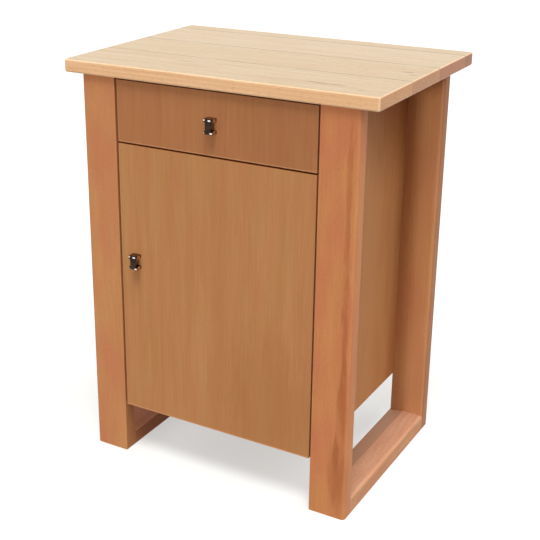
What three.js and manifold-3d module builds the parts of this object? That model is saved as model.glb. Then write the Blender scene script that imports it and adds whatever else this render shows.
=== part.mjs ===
// Sideboard: one drawer over one door, in a box that hangs between two sled frames
// under a worktop of four solid boards.
// Millimetres, +Z up, the front faces -Y, and the origin is on the floor under the
// middle of the whole outline.

import * as THREE from 'three';
import { mergeVertices } from 'three/addons/utils/BufferGeometryUtils.js';
import Module from 'manifold-3d';

const wasm = await Module();
wasm.setup();

// Driving dimensions

const overallHeight = 900;

const worktop = {
  width: 710,
  thickness: 28,
  frontOverhang: 8,
  backOverhang: 15,
  frontBoard: 151,
  secondBoard: 145,
  thirdBoard: 150,
  edgeRadius: 4,
  cornerRadius: 5,
  grooveChamfer: 1.2,
};

const sled = {
  width: 632,
  depth: 472,
  legWidth: 82,
  legDepth: 36,
  runnerHeight: 36,
  bevelWidth: 35,
  bevelDrop: 4,
  outerRadius: 8,
  innerRadius: 2,
};

const tenon = { width: 30, thickness: 8, reach: 20 };

const carcass = {
  boardThickness: 16,
  undersideHeight: 127,
  backThickness: 6,
  backRebate: 8,
  railDepth: 80,
};

const fronts = {
  thickness: 16,
  recess: 2,
  sideGap: 4,
  topGap: 4,
  middleGap: 4,
  drawerHeight: 130,
  bottomLip: 6,
  arrisRadius: 1,
  backGap: 3.5,
};

const shelf = { lift: 277, sideGap: 2, frontSetback: 10, backSetback: 10 };

const shelfPin = {
  radius: 2.5,
  reach: 8,
  depth: 9,
  collarRadius: 4,
  collarThickness: 1.5,
  endInset: 48,
};

const drawerBox = {
  sideGap: 1,
  boardThickness: 12,
  length: 400,
  topGap: 14,
  bottomLift: 8,
  underGap: 8,
  bottomThickness: 5,
  grooveDepth: 5,
};

const drawerRunner = { height: 16, thickness: 6.5, length: 420 };

const pull = {
  holeSpacing: 25,
  footThickness: 7,
  endWidth: 20,
  waistWidth: 13,
  projection: 18,
  bowThickness: 4,
  outerRadius: 5,
  innerRadius: 3,
  edgeBevel: 0.7,
  threadDepth: 7,
  drawerDrop: 2,
  doorEdgeDistance: 40,
  doorTopDistance: 256,
};

const hinge = {
  endDistance: 95,
  cupRadius: 17.5,
  cupDepth: 12,
  cupWall: 1,
  cupEdgeDistance: 3,
  flangeWidth: 16,
  flangeLength: 60,
  flangeThickness: 1.2,
  flangeShift: 1,
  flangeCorner: 7,
  pinRadius: 1,
  pinHalfLength: 9.9,
  pinEdgeDistance: 7.5,
  knuckleRadius: 2,
  armHeight: 11,
  neckThickness: 2.2,
  neckReach: 19.5,
  armStart: 26,
  armLength: 46,
  armDepth: 12,
  plateStart: 38,
  plateLength: 28,
  plateHeight: 46,
  plateThickness: 2,
};

const legScrew = {
  radius: 2,
  headRadius: 4,
  headDepth: 2.3,
  length: 50,
  tip: 5,
  bottomLift: 41,
  dividerDrop: 28,
};

const topScrew = { radius: 2.25, headRadius: 4.2, headDepth: 2.4, length: 35, tip: 5, spacing: 300 };

const pullScrew = { radius: 2, headRadius: 4, headHeight: 2.5, engagement: 6, tip: 1 };

const buffer = { radius: 4, endDistance: 34 };

// Clearances

const fitGap = 0.3;
const glueLine = 0.3;
const slideGap = 0.5;
const pinGap = 0.15;
const runningGap = 0.08;
const screwGap = 0.25;
const overrun = 2;

// Roundness of arcs and turned pieces, in segments

const arcSegments = 4;
const turnSegments = 16;
const cupSegments = 32;

// Places worked out from the sizes

const topUnderside = overallHeight - worktop.thickness;
const topFront = -worktop.frontOverhang;
const topBack = sled.depth + worktop.backOverhang;
const sledOuter = sled.width / 2;
const sledInner = sledOuter - sled.legWidth;
const rearLegFront = sled.depth - sled.legDepth;

const frontFace = fronts.recess;
const frontBack = frontFace + fronts.thickness;
const frontHalfWidth = sledInner - fronts.sideGap;
const drawerFrontTop = topUnderside - fronts.topGap;
const drawerFrontBottom = drawerFrontTop - fronts.drawerHeight;
const doorTop = drawerFrontBottom - fronts.middleGap;
const doorBottom = carcass.undersideHeight - fronts.bottomLip;

const carcassFront = frontBack + fronts.backGap;
const carcassInner = sledInner - carcass.boardThickness;
const backPanelFront = sled.depth - carcass.backThickness;
const dividerTop = (doorTop + drawerFrontBottom + carcass.boardThickness) / 2;
const dividerBottom = dividerTop - carcass.boardThickness;
const railBottom = topUnderside - carcass.boardThickness;

const boxOuter = carcassInner - drawerBox.sideGap;
const boxInner = boxOuter - drawerBox.boardThickness;
const boxFront = frontBack;
const boxBack = boxFront + drawerBox.length;
const boxBottom = dividerTop + drawerBox.underGap;
const boxTop = railBottom - drawerBox.topGap;
const boxBoardUnderside = boxBottom + drawerBox.bottomLift;
const boxBoardTop = boxBoardUnderside + drawerBox.bottomThickness;
const runnerMiddle = (boxBottom + boxTop) / 2;
const runnerBottom = runnerMiddle - drawerRunner.height / 2;
const runnerTop = runnerMiddle + drawerRunner.height / 2;

const pinX = frontHalfWidth - hinge.pinEdgeDistance;
const cupX = frontHalfWidth - hinge.cupEdgeDistance - hinge.cupRadius;
const cupFloor = frontBack - hinge.cupDepth;
const pinY = cupFloor + hinge.cupWall + fitGap + hinge.knuckleRadius;
const hingeHeights = {
  lower: doorBottom + hinge.endDistance,
  upper: doorTop - hinge.endDistance,
};

const drawerPullHeight = (drawerFrontBottom + drawerFrontTop) / 2 - pull.drawerDrop;
const doorPullHeight = doorTop - pull.doorTopDistance;
const doorPullX = -frontHalfWidth + pull.doorEdgeDistance;
const pullFront = frontFace - pull.projection;

// Materials

function finish(color, roughness, metalness) {
  return new THREE.MeshStandardMaterial({ color, roughness, metalness });
}

const worktopBeech = () => finish(0xe2bf90, 0.3, 0);
const legBeech = () => finish(0xc2875a, 0.4, 0);
const frontVeneer = () => finish(0xb27c4f, 0.42, 0);
const carcassVeneer = () => finish(0xb07a4c, 0.5, 0);
const drawerBeech = () => finish(0xd2a877, 0.55, 0);
const plainBoard = () => finish(0xc39a6a, 0.65, 0);
const chrome = () => finish(0xd9d9d9, 0.08, 1);
const nickelSteel = () => finish(0xb4b4b0, 0.3, 1);
const zincSteel = () => finish(0xc9c4b4, 0.38, 1);
const clearRubber = () => finish(0xd8d8d2, 0.35, 0);

// Solids

function toSolid(geometry) {
  const plain = geometry.clone();
  plain.deleteAttribute('normal');
  plain.deleteAttribute('uv');
  const merged = mergeVertices(plain);
  const vertProperties = new Float32Array(merged.attributes.position.array);
  const triVerts = new Uint32Array(merged.index.array);
  return new wasm.Manifold(new wasm.Mesh({ numProp: 3, vertProperties, triVerts }));
}

function toGeometry(solid) {
  const { vertProperties, triVerts } = solid.getMesh();
  const geometry = new THREE.BufferGeometry();
  geometry.setAttribute('position', new THREE.BufferAttribute(new Float32Array(vertProperties), 3));
  geometry.setIndex(new THREE.BufferAttribute(new Uint32Array(triVerts), 1));
  return geometry;
}

function join(...pieces) {
  return toGeometry(pieces.map(toSolid).reduce((whole, piece) => whole.add(piece)));
}

function overlapOf(...pieces) {
  return toGeometry(pieces.map(toSolid).reduce((whole, piece) => whole.intersect(piece)));
}

function cut(body, ...tools) {
  return toGeometry(tools.map(toSolid).reduce((whole, tool) => whole.subtract(tool), toSolid(body)));
}

// A closed outline with a radius at each corner: low-low, high-low, high-high, low-high
function roundedOutline([u0, u1], [v0, v1], [r0, r1, r2, r3]) {
  const outline = new THREE.Shape();
  const quarter = Math.PI / 2;
  const corners = [
    [u0 + r0, v0 + r0, r0, 2 * quarter],
    [u1 - r1, v0 + r1, r1, 3 * quarter],
    [u1 - r2, v1 - r2, r2, 0],
    [u0 + r3, v1 - r3, r3, quarter],
  ];
  corners.forEach(([u, v, r, start], i) => {
    const steps = r > 0 ? arcSegments : 0;
    for (let k = 0; k <= steps; k += 1) {
      const angle = start + (steps ? (quarter * k) / steps : 0);
      const point = [u + r * Math.cos(angle), v + r * Math.sin(angle)];
      if (i === 0 && k === 0) outline.moveTo(...point);
      else outline.lineTo(...point);
    }
  });
  return outline;
}

function polygon(points) {
  return new THREE.Shape(points.map(([u, v]) => new THREE.Vector2(u, v)));
}

function prism(outline, length) {
  return new THREE.ExtrudeGeometry(outline, { depth: length, bevelEnabled: false });
}

function frameOf(across, up, along) {
  return new THREE.Matrix4().makeBasis(
    new THREE.Vector3(...across),
    new THREE.Vector3(...up),
    new THREE.Vector3(...along),
  );
}

const frontFrame = frameOf([1, 0, 0], [0, 0, 1], [0, -1, 0]);
const sideFrame = frameOf([0, 1, 0], [0, 0, 1], [1, 0, 0]);

// An outline in X and Y, carried up from z0 to z1
function prismZ(outline, [z0, z1]) {
  return prism(outline, z1 - z0).translate(0, 0, z0);
}

// An outline in X and Z, carried back from y0 to y1
function prismY(outline, [y0, y1]) {
  return prism(outline, y1 - y0).applyMatrix4(frontFrame).translate(0, y1, 0);
}

// An outline in Y and Z, carried across from x0 to x1
function prismX(outline, [x0, x1]) {
  return prism(outline, x1 - x0).applyMatrix4(sideFrame).translate(x0, 0, 0);
}

function block([x0, x1], [y0, y1], [z0, z1]) {
  const box = new THREE.BoxGeometry(x1 - x0, y1 - y0, z1 - z0);
  return box.translate((x0 + x1) / 2, (y0 + y1) / 2, (z0 + z1) / 2);
}

// A turned piece: radius against distance along its axis, from its base towards direction
function turned(profile, base, direction, segments = turnSegments) {
  const points = profile.map(([radius, along]) => new THREE.Vector2(radius, along));
  const turn = new THREE.Quaternion().setFromUnitVectors(new THREE.Vector3(0, 1, 0), direction);
  return new THREE.LatheGeometry(points, segments).applyQuaternion(turn).translate(...base);
}

function peg(radius, length, base, direction, segments = turnSegments) {
  return turned([[0, 0], [radius, 0], [radius, length], [0, length]], base, direction, segments);
}

const toRight = new THREE.Vector3(1, 0, 0);
const upward = new THREE.Vector3(0, 0, 1);
const forward = new THREE.Vector3(0, -1, 0);
const backward = new THREE.Vector3(0, 1, 0);

// Mirrors a piece to the other side of the middle plane and keeps its faces pointing out
function mirrored(geometry) {
  const plain = geometry.index ? geometry.clone() : mergeVertices(geometry);
  plain.deleteAttribute('normal');
  plain.deleteAttribute('uv');
  plain.scale(-1, 1, 1);
  const order = plain.index.array;
  for (let i = 0; i < order.length; i += 3) {
    [order[i], order[i + 1]] = [order[i + 1], order[i]];
  }
  return plain;
}

function piece(name, geometry, material) {
  if (!geometry.attributes.normal) geometry.computeVertexNormals();
  const mesh = new THREE.Mesh(geometry, material);
  mesh.name = name;
  return mesh;
}

// Screws, and the holes that they fill

function countersunkScrew(screw, base, direction) {
  const { radius, headRadius, headDepth, length, tip } = screw;
  const profile = [[0, 0], [headRadius, 0], [radius, headDepth], [radius, length - tip], [0, length]];
  return turned(profile, base, direction);
}

function countersunkHole(screw, base, direction) {
  const wide = screw.headRadius + screwGap;
  const narrow = screw.radius + screwGap;
  const profile = [
    [0, -overrun],
    [wide, -overrun],
    [wide, 0],
    [narrow, screw.headDepth],
    [narrow, screw.length + screwGap],
    [0, screw.length + screwGap],
  ];
  return turned(profile, base, direction);
}

function panHeadScrew(length, base, direction) {
  const { radius, headRadius, headHeight, tip } = pullScrew;
  const profile = [
    [0, -headHeight],
    [headRadius - tip, -headHeight],
    [headRadius, -headHeight / 2],
    [headRadius, 0],
    [radius, 0],
    [radius, length - tip],
    [radius - tip, length],
    [0, length],
  ];
  return turned(profile, base, direction);
}

// Worktop

const topScrewPlaces = [-1, 1].flatMap((side) => [
  { name: side < 0 ? 'front_left' : 'front_right', x: (side * topScrew.spacing) / 2, rail: 'front' },
  { name: side < 0 ? 'rear_left' : 'rear_right', x: (side * topScrew.spacing) / 2, rail: 'rear' },
]);

function topScrewBase({ x, rail }) {
  const fromEdge = carcass.railDepth / 2;
  const y = rail === 'front' ? carcassFront + fromEdge : backPanelFront - fromEdge;
  return [x, y, railBottom];
}

function worktopBoard([y0, y1], isFront, isRear) {
  const halfWidth = worktop.width / 2;
  const { edgeRadius, cornerRadius, grooveChamfer } = worktop;
  const xRange = [-halfWidth, halfWidth];
  const zRange = [topUnderside, overallHeight];
  const across = prismY(roundedOutline(xRange, zRange, Array(4).fill(edgeRadius)), [y0, y1]);
  const along = [
    ...(isFront
      ? arcPoints(y0 + edgeRadius, topUnderside + edgeRadius, edgeRadius, 2)
      : [[y0, topUnderside]]),
    ...(isRear
      ? arcPoints(y1 - edgeRadius, topUnderside + edgeRadius, edgeRadius, 3)
      : [[y1, topUnderside]]),
    ...(isRear
      ? arcPoints(y1 - edgeRadius, overallHeight - edgeRadius, edgeRadius, 0)
      : [[y1, overallHeight - grooveChamfer], [y1 - grooveChamfer, overallHeight]]),
    ...(isFront
      ? arcPoints(y0 + edgeRadius, overallHeight - edgeRadius, edgeRadius, 1)
      : [[y0 + grooveChamfer, overallHeight], [y0, overallHeight - grooveChamfer]]),
  ];
  const lengthways = prismX(polygon(along), xRange);
  const frontCorner = isFront ? cornerRadius : 0;
  const rearCorner = isRear ? cornerRadius : 0;
  const planOutline = roundedOutline(xRange, [y0, y1], [frontCorner, frontCorner, rearCorner, rearCorner]);
  const plan = prismZ(planOutline, zRange);
  const holes = topScrewPlaces
    .map(topScrewBase)
    .filter(([, y]) => y > y0 && y < y1)
    .map((base) => countersunkHole(topScrew, base, upward));
  return cut(overlapOf(across, lengthways, plan), ...holes);
}

// Points of a quarter arc; quarter 0 runs from the u axis to the v axis, and so on round
function arcPoints(u, v, radius, quarter) {
  const points = [];
  for (let k = 0; k <= arcSegments; k += 1) {
    const angle = (Math.PI / 2) * (quarter + k / arcSegments);
    points.push([u + radius * Math.cos(angle), v + radius * Math.sin(angle)]);
  }
  return points;
}

function buildWorktop() {
  const group = new THREE.Group();
  const half = glueLine / 2;
  const firstJoint = topFront + worktop.frontBoard;
  const secondJoint = firstJoint + worktop.secondBoard;
  const thirdJoint = secondJoint + worktop.thirdBoard;
  const boards = [
    ['worktop_board_front', [topFront, firstJoint - half], true, false],
    ['worktop_board_mid_front', [firstJoint + half, secondJoint - half], false, false],
    ['worktop_board_mid_rear', [secondJoint + half, thirdJoint - half], false, false],
    ['worktop_board_rear', [thirdJoint + half, topBack], false, true],
  ];
  for (const [name, range, isFront, isRear] of boards) {
    group.add(piece(name, worktopBoard(range, isFront, isRear), worktopBeech()));
  }
  for (const place of topScrewPlaces) {
    const geometry = countersunkScrew(topScrew, topScrewBase(place), upward);
    group.add(piece(`worktop_screw_${place.name}`, geometry, zincSteel()));
  }
  return group;
}

// Sled frames, made for the right side and mirrored for the left

const legScrewLow = carcass.undersideHeight + legScrew.bottomLift;
const legScrewHigh = dividerBottom - legScrew.dividerDrop;
const frontScrewLine = (carcassFront + sled.legDepth - sled.bevelDrop) / 2;
const legScrewPlaces = [
  { name: 'front_lower', y: frontScrewLine, z: legScrewLow, leg: 'front' },
  { name: 'front_upper', y: frontScrewLine, z: legScrewHigh, leg: 'front' },
  { name: 'rear_lower', y: (rearLegFront + backPanelFront) / 2, z: legScrewLow, leg: 'rear' },
  { name: 'rear_upper', y: (rearLegFront + backPanelFront) / 2, z: legScrewHigh, leg: 'rear' },
];

function tenonPiece(jointY, clearance) {
  const middleX = (sledInner + sledOuter) / 2;
  const middleZ = sled.runnerHeight / 2;
  const halfWidth = tenon.width / 2 + clearance;
  const halfThickness = tenon.thickness / 2 + clearance;
  const outline = roundedOutline(
    [middleX - halfWidth, middleX + halfWidth],
    [middleZ - halfThickness, middleZ + halfThickness],
    Array(4).fill(halfThickness),
  );
  const reach = tenon.reach + clearance;
  return prismY(outline, [jointY - reach, jointY + reach]);
}

// The runner's section in X and Z, bevelled on top towards the box
function runnerOutline() {
  const { outerRadius, runnerHeight, bevelWidth, bevelDrop } = sled;
  return polygon([
    [sledInner, 0],
    [sledOuter, 0],
    ...arcPoints(sledOuter - outerRadius, runnerHeight - outerRadius, outerRadius, 0),
    [sledInner + bevelWidth, runnerHeight],
    [sledInner, runnerHeight - bevelDrop],
  ]);
}

// A leg's section in X and Y, with the same bevel on the face that looks into the frame
function legOutline(isFront) {
  const { legDepth, outerRadius, innerRadius, bevelWidth, bevelDrop } = sled;
  const front = [
    ...arcPoints(sledInner + innerRadius, innerRadius, innerRadius, 2),
    ...arcPoints(sledOuter - outerRadius, outerRadius, outerRadius, 3),
    ...arcPoints(sledOuter - outerRadius, legDepth - outerRadius, outerRadius, 0),
    [sledInner + bevelWidth, legDepth],
    [sledInner, legDepth - bevelDrop],
  ];
  return polygon(isFront ? front : front.map(([x, y]) => [x, sled.depth - y]).reverse());
}

function legSolid(which) {
  const isFront = which === 'front';
  const yRange = isFront ? [0, sled.legDepth] : [rearLegFront, sled.depth];
  const xRange = [sledInner, sledOuter];
  const { outerRadius, innerRadius, runnerHeight } = sled;
  const post = prismZ(legOutline(isFront), [0, topUnderside]);
  const footRadii = isFront ? [innerRadius, outerRadius, 0, 0] : [0, 0, outerRadius, innerRadius];
  const footBlock = prismZ(roundedOutline(xRange, yRange, footRadii), [0, runnerHeight]);
  const foot = overlapOf(footBlock, prismY(runnerOutline(), yRange));
  const jointY = isFront ? sled.legDepth : rearLegFront;
  const holes = legScrewPlaces
    .filter(({ leg }) => leg === which)
    .map(({ y, z }) => countersunkHole(legScrew, [carcassInner, y, z], toRight));
  return cut(join(post, foot), tenonPiece(jointY, fitGap), ...holes);
}

function runnerSolid() {
  const bar = prismY(runnerOutline(), [sled.legDepth, rearLegFront]);
  return cut(bar, tenonPiece(sled.legDepth, fitGap), tenonPiece(rearLegFront, fitGap));
}

function buildSled(side) {
  const group = new THREE.Group();
  const place = side === 'left' ? mirrored : (geometry) => geometry;
  const pieces = [
    ['front_leg', legSolid('front'), legBeech()],
    ['rear_leg', legSolid('rear'), legBeech()],
    ['runner', runnerSolid(), legBeech()],
    ['front_tenon', tenonPiece(sled.legDepth, 0), drawerBeech()],
    ['rear_tenon', tenonPiece(rearLegFront, 0), drawerBeech()],
  ];
  for (const [name, geometry, material] of pieces) {
    group.add(piece(`${side}_${name}`, place(geometry), material));
  }
  for (const { name, y, z } of legScrewPlaces) {
    const geometry = countersunkScrew(legScrew, [carcassInner, y, z], toRight);
    group.add(piece(`${side}_leg_screw_${name}`, place(geometry), zincSteel()));
  }
  return group;
}

// Carcass

const shelfFront = carcassFront + shelf.frontSetback;
const shelfBack = backPanelFront - shelf.backSetback;
const shelfUnderside = carcass.undersideHeight + carcass.boardThickness + shelf.lift;
const shelfPinHeight = shelfUnderside - fitGap - shelfPin.radius;
const shelfPinPlaces = [
  { name: 'front', y: shelfFront + shelfPin.endInset },
  { name: 'rear', y: shelfBack - shelfPin.endInset },
];

function carcassSide() {
  const rebateInner = carcassInner + carcass.backRebate;
  const plan = polygon([
    [carcassInner, carcassFront],
    [sledInner, carcassFront],
    [sledInner, sled.depth],
    [rebateInner, sled.depth],
    [rebateInner, backPanelFront],
    [carcassInner, backPanelFront],
  ]);
  const panel = prismZ(plan, [carcass.undersideHeight, topUnderside]);
  const screwHoles = legScrewPlaces.map(({ y, z }) =>
    countersunkHole(legScrew, [carcassInner, y, z], toRight),
  );
  const pinHoles = shelfPinPlaces.map(({ y }) =>
    peg(
      shelfPin.radius + pinGap,
      shelfPin.depth + fitGap + overrun,
      [carcassInner - overrun, y, shelfPinHeight],
      toRight,
    ),
  );
  return cut(panel, ...screwHoles, ...pinHoles);
}

function topRail([y0, y1]) {
  const rail = block([-carcassInner, carcassInner], [y0, y1], [railBottom, topUnderside]);
  const holes = topScrewPlaces
    .map(topScrewBase)
    .filter(([, y]) => y > y0 && y < y1)
    .map((base) => countersunkHole(topScrew, base, upward));
  return cut(rail, ...holes);
}

function shelfPinPiece(y) {
  const { radius, reach, depth, collarRadius, collarThickness } = shelfPin;
  const profile = [
    [0, 0],
    [radius, 0],
    [radius, reach - collarThickness],
    [collarRadius, reach - collarThickness],
    [collarRadius, reach],
    [radius, reach],
    [radius, reach + depth],
    [0, reach + depth],
  ];
  return turned(profile, [carcassInner - reach, y, shelfPinHeight], toRight);
}

function bufferDome(z) {
  const height = fronts.backGap - fitGap;
  const profile = [[0, 0]];
  for (let k = 0; k < arcSegments; k += 1) {
    const angle = (Math.PI / 2) * (k / arcSegments);
    profile.push([buffer.radius * Math.cos(angle), height * Math.sin(angle)]);
  }
  profile.push([0, height]);
  const middleX = (carcassInner + sledInner) / 2;
  return turned(profile, [-middleX, carcassFront, z], forward);
}

function buildCarcass() {
  const group = new THREE.Group();
  const inside = [-carcassInner, carcassInner];
  const fullDepth = [carcassFront, backPanelFront];
  const backHalfWidth = carcassInner + carcass.backRebate - fitGap;
  const shelfHalfWidth = carcassInner - shelf.sideGap;
  const boardRange = (z0) => [z0, z0 + carcass.boardThickness];
  const side = carcassSide();
  group.add(
    piece('carcass_side_right', side, carcassVeneer()),
    piece('carcass_side_left', mirrored(side), carcassVeneer()),
    piece('carcass_bottom', block(inside, fullDepth, boardRange(carcass.undersideHeight)), carcassVeneer()),
    piece('carcass_divider', block(inside, fullDepth, boardRange(dividerBottom)), carcassVeneer()),
    piece('top_rail_front', topRail([carcassFront, carcassFront + carcass.railDepth]), carcassVeneer()),
    piece('top_rail_rear', topRail([backPanelFront - carcass.railDepth, backPanelFront]), carcassVeneer()),
    piece(
      'back_panel',
      block(
        [-backHalfWidth, backHalfWidth],
        [backPanelFront, sled.depth],
        [carcass.undersideHeight, topUnderside],
      ),
      plainBoard(),
    ),
    piece(
      'shelf',
      block([-shelfHalfWidth, shelfHalfWidth], [shelfFront, shelfBack], boardRange(shelfUnderside)),
      carcassVeneer(),
    ),
  );
  for (const { name, y } of shelfPinPlaces) {
    group.add(piece(`shelf_pin_right_${name}`, shelfPinPiece(y), nickelSteel()));
    group.add(piece(`shelf_pin_left_${name}`, mirrored(shelfPinPiece(y)), nickelSteel()));
  }
  group.add(piece('door_buffer', bufferDome(doorTop - buffer.endDistance), clearRubber()));
  return group;
}

// Pulls

function pullSolid(x, z) {
  const { endWidth, waistWidth, footThickness, holeSpacing, bowThickness } = pull;
  const { outerRadius, innerRadius, edgeBevel } = pull;
  const outerHalf = (holeSpacing + footThickness) / 2;
  const innerHalf = (holeSpacing - footThickness) / 2;
  const bowBack = pullFront + bowThickness;
  const outline = polygon([
    ...arcPoints(pullFront + outerRadius, z - outerHalf + outerRadius, outerRadius, 2),
    [frontFace, z - outerHalf],
    [frontFace, z - innerHalf],
    ...arcPoints(bowBack + innerRadius, z - innerHalf + innerRadius, innerRadius, 2).reverse(),
    ...arcPoints(bowBack + innerRadius, z + innerHalf - innerRadius, innerRadius, 1).reverse(),
    [frontFace, z + innerHalf],
    [frontFace, z + outerHalf],
    ...arcPoints(pullFront + outerRadius, z + outerHalf - outerRadius, outerRadius, 1),
  ]);
  const straight = endWidth - 2 * edgeBevel;
  const bow = new THREE.ExtrudeGeometry(outline, {
    depth: straight,
    bevelEnabled: true,
    bevelThickness: edgeBevel,
    bevelSize: edgeBevel,
    bevelOffset: -edgeBevel,
    bevelSegments: 1,
  });
  bow.applyMatrix4(sideFrame).translate(x - straight / 2, 0, 0);
  const seat = block(
    [x - endWidth, x + endWidth],
    [frontFace, frontFace + endWidth],
    [z - 2 * outerHalf, z + 2 * outerHalf],
  );
  const waists = [
    [x - endWidth, x - waistWidth / 2],
    [x + waistWidth / 2, x + endWidth],
  ].map((span) => block(span, [pullFront - overrun, frontFace + overrun], [z - innerHalf, z + innerHalf]));
  const threads = pullScrewHeights(z).map((height) =>
    peg(pullScrew.radius + screwGap, pull.threadDepth + overrun, [x, frontFace + overrun, height], forward),
  );
  return cut(bow, seat, ...waists, ...threads);
}

function pullScrewHeights(z) {
  return [z - pull.holeSpacing / 2, z + pull.holeSpacing / 2];
}

// Holes through boards that end at faceBack, and the two screws that fill them
function pullScrewHoles(x, z, faceBack) {
  return pullScrewHeights(z).map((height) =>
    peg(
      pullScrew.radius + screwGap,
      faceBack - frontFace + 2 * overrun,
      [x, faceBack + overrun, height],
      forward,
    ),
  );
}

function pullWithScrews(owner, x, z, faceBack) {
  const length = faceBack - frontFace + pullScrew.engagement;
  const [low, high] = pullScrewHeights(z);
  return [
    piece(`${owner}_pull`, pullSolid(x, z), chrome()),
    piece(`${owner}_pull_screw_lower`, panHeadScrew(length, [x, faceBack, low], forward), zincSteel()),
    piece(`${owner}_pull_screw_upper`, panHeadScrew(length, [x, faceBack, high], forward), zincSteel()),
  ];
}

// Door and its hinges

function doorPanel() {
  const arris = fronts.arrisRadius;
  const outline = roundedOutline(
    [-frontHalfWidth, frontHalfWidth],
    [frontFace, frontBack],
    Array(4).fill(arris),
  );
  const panel = prismZ(outline, [doorBottom, doorTop]);
  const cupHoles = Object.values(hingeHeights).map((z) =>
    peg(
      hinge.cupRadius + fitGap,
      hinge.cupDepth + fitGap + overrun,
      [cupX, frontBack + overrun, z],
      forward,
      cupSegments,
    ),
  );
  return cut(panel, ...cupHoles, ...pullScrewHoles(doorPullX, doorPullHeight, frontBack));
}

function hingeCup(z) {
  const { cupRadius, cupDepth, cupWall, flangeThickness, flangeWidth } = hinge;
  const { flangeLength, flangeShift, flangeCorner } = hinge;
  const depthOutside = cupDepth + flangeThickness;
  const profile = [
    [0, 0],
    [cupRadius, 0],
    [cupRadius, depthOutside],
    [cupRadius - cupWall, depthOutside],
    [cupRadius - cupWall, cupWall],
    [0, cupWall],
  ];
  const shell = turned(profile, [cupX, cupFloor, z], backward, cupSegments);
  const flangeOutline = roundedOutline(
    [cupX - flangeShift - flangeWidth / 2, cupX - flangeShift + flangeWidth / 2],
    [z - flangeLength / 2, z + flangeLength / 2],
    Array(4).fill(flangeCorner),
  );
  const flange = prismY(flangeOutline, [frontBack + fitGap / 2, frontBack + flangeThickness]);
  const hollow = peg(
    cupRadius - cupWall,
    cupDepth + overrun,
    [cupX, cupFloor + cupWall, z],
    backward,
    cupSegments,
  );
  const cheekHalf = hinge.armHeight / 2 + slideGap;
  const cheekReach = hinge.knuckleRadius + cupWall;
  const cheeks = [-1, 1].map((side) =>
    overlapOf(
      peg(
        cupRadius - cupWall / 2,
        pinY - cupFloor + hinge.knuckleRadius,
        [cupX, cupFloor, z],
        backward,
        cupSegments,
      ),
      block(
        [pinX - cheekReach, cupX + cupRadius],
        [cupFloor, pinY + hinge.knuckleRadius],
        [z + side * cheekHalf, z + side * cupRadius].sort((low, high) => low - high),
      ),
    ),
  );
  const pinHole = peg(
    hinge.pinRadius + runningGap,
    2 * (hinge.pinHalfLength + runningGap),
    [pinX, pinY, z - hinge.pinHalfLength - runningGap],
    upward,
  );
  return cut(join(shell, cut(flange, hollow), ...cheeks), pinHole);
}

function hingePin(z) {
  return peg(hinge.pinRadius, 2 * hinge.pinHalfLength, [pinX, pinY, z - hinge.pinHalfLength], upward);
}

// The arm: a knuckle round the pin, a neck that bends out of the cup, and a body on its plate
function hingeArm(z) {
  const { neckThickness, neckReach, armStart, armLength, armDepth, armHeight, knuckleRadius } = hinge;
  const { plateStart, plateLength, plateHeight, plateThickness } = hinge;
  const half = neckThickness / 2;
  const zRange = [z - armHeight / 2, z + armHeight / 2];
  const bendX = pinX - neckReach;
  const armInner = carcassInner - plateThickness - armDepth;
  const neck = prismZ(
    polygon([
      [pinX, pinY - half],
      [pinX, pinY + half],
      [bendX + half, pinY + half],
      [bendX + half, armStart],
      [armInner + armDepth / 2, armStart],
      [armInner + armDepth / 2, armStart + 2 * half],
      [bendX - half, armStart + 2 * half],
      [bendX - half, pinY - half],
    ]),
    zRange,
  );
  const knuckle = peg(knuckleRadius, armHeight, [pinX, pinY, zRange[0]], upward);
  const body = block([armInner, carcassInner - plateThickness / 2], [armStart, armStart + armLength], zRange);
  const plate = block(
    [carcassInner - plateThickness, carcassInner],
    [plateStart, plateStart + plateLength],
    [z - plateHeight / 2, z + plateHeight / 2],
  );
  const bore = peg(
    hinge.pinRadius + runningGap,
    armHeight + 2 * overrun,
    [pinX, pinY, zRange[0] - overrun],
    upward,
  );
  return cut(join(neck, knuckle, body, plate), bore);
}

function buildDoor() {
  const group = new THREE.Group();
  group.add(
    piece('door_panel', doorPanel(), frontVeneer()),
    ...pullWithScrews('door', doorPullX, doorPullHeight, frontBack),
  );
  for (const [name, z] of Object.entries(hingeHeights)) {
    group.add(
      piece(`hinge_cup_${name}`, hingeCup(z), nickelSteel()),
      piece(`hinge_pin_${name}`, hingePin(z), nickelSteel()),
      piece(`hinge_arm_${name}`, hingeArm(z), nickelSteel()),
    );
  }
  return group;
}

// Drawer and its runners

const boxFrontBack = boxFront + drawerBox.boardThickness;

function drawerFrontPanel() {
  const outline = roundedOutline(
    [-frontHalfWidth, frontHalfWidth],
    [frontFace, frontBack],
    Array(4).fill(fronts.arrisRadius),
  );
  const panel = prismZ(outline, [drawerFrontBottom, drawerFrontTop]);
  return cut(panel, ...pullScrewHoles(0, drawerPullHeight, frontBack));
}

function drawerSide() {
  const bottomGroove = boxInner + drawerBox.grooveDepth + fitGap;
  const runnerGroove = carcassInner - drawerRunner.thickness - slideGap;
  return prismY(
    polygon([
      [boxInner, boxBottom],
      [boxOuter, boxBottom],
      [boxOuter, runnerBottom - slideGap],
      [runnerGroove, runnerBottom - slideGap],
      [runnerGroove, runnerTop + fitGap],
      [boxOuter, runnerTop + fitGap],
      [boxOuter, boxTop],
      [boxInner, boxTop],
      [boxInner, boxBoardTop + fitGap],
      [bottomGroove, boxBoardTop + fitGap],
      [bottomGroove, boxBoardUnderside - fitGap],
      [boxInner, boxBoardUnderside - fitGap],
    ]),
    [boxFront, boxBack],
  );
}

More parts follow.
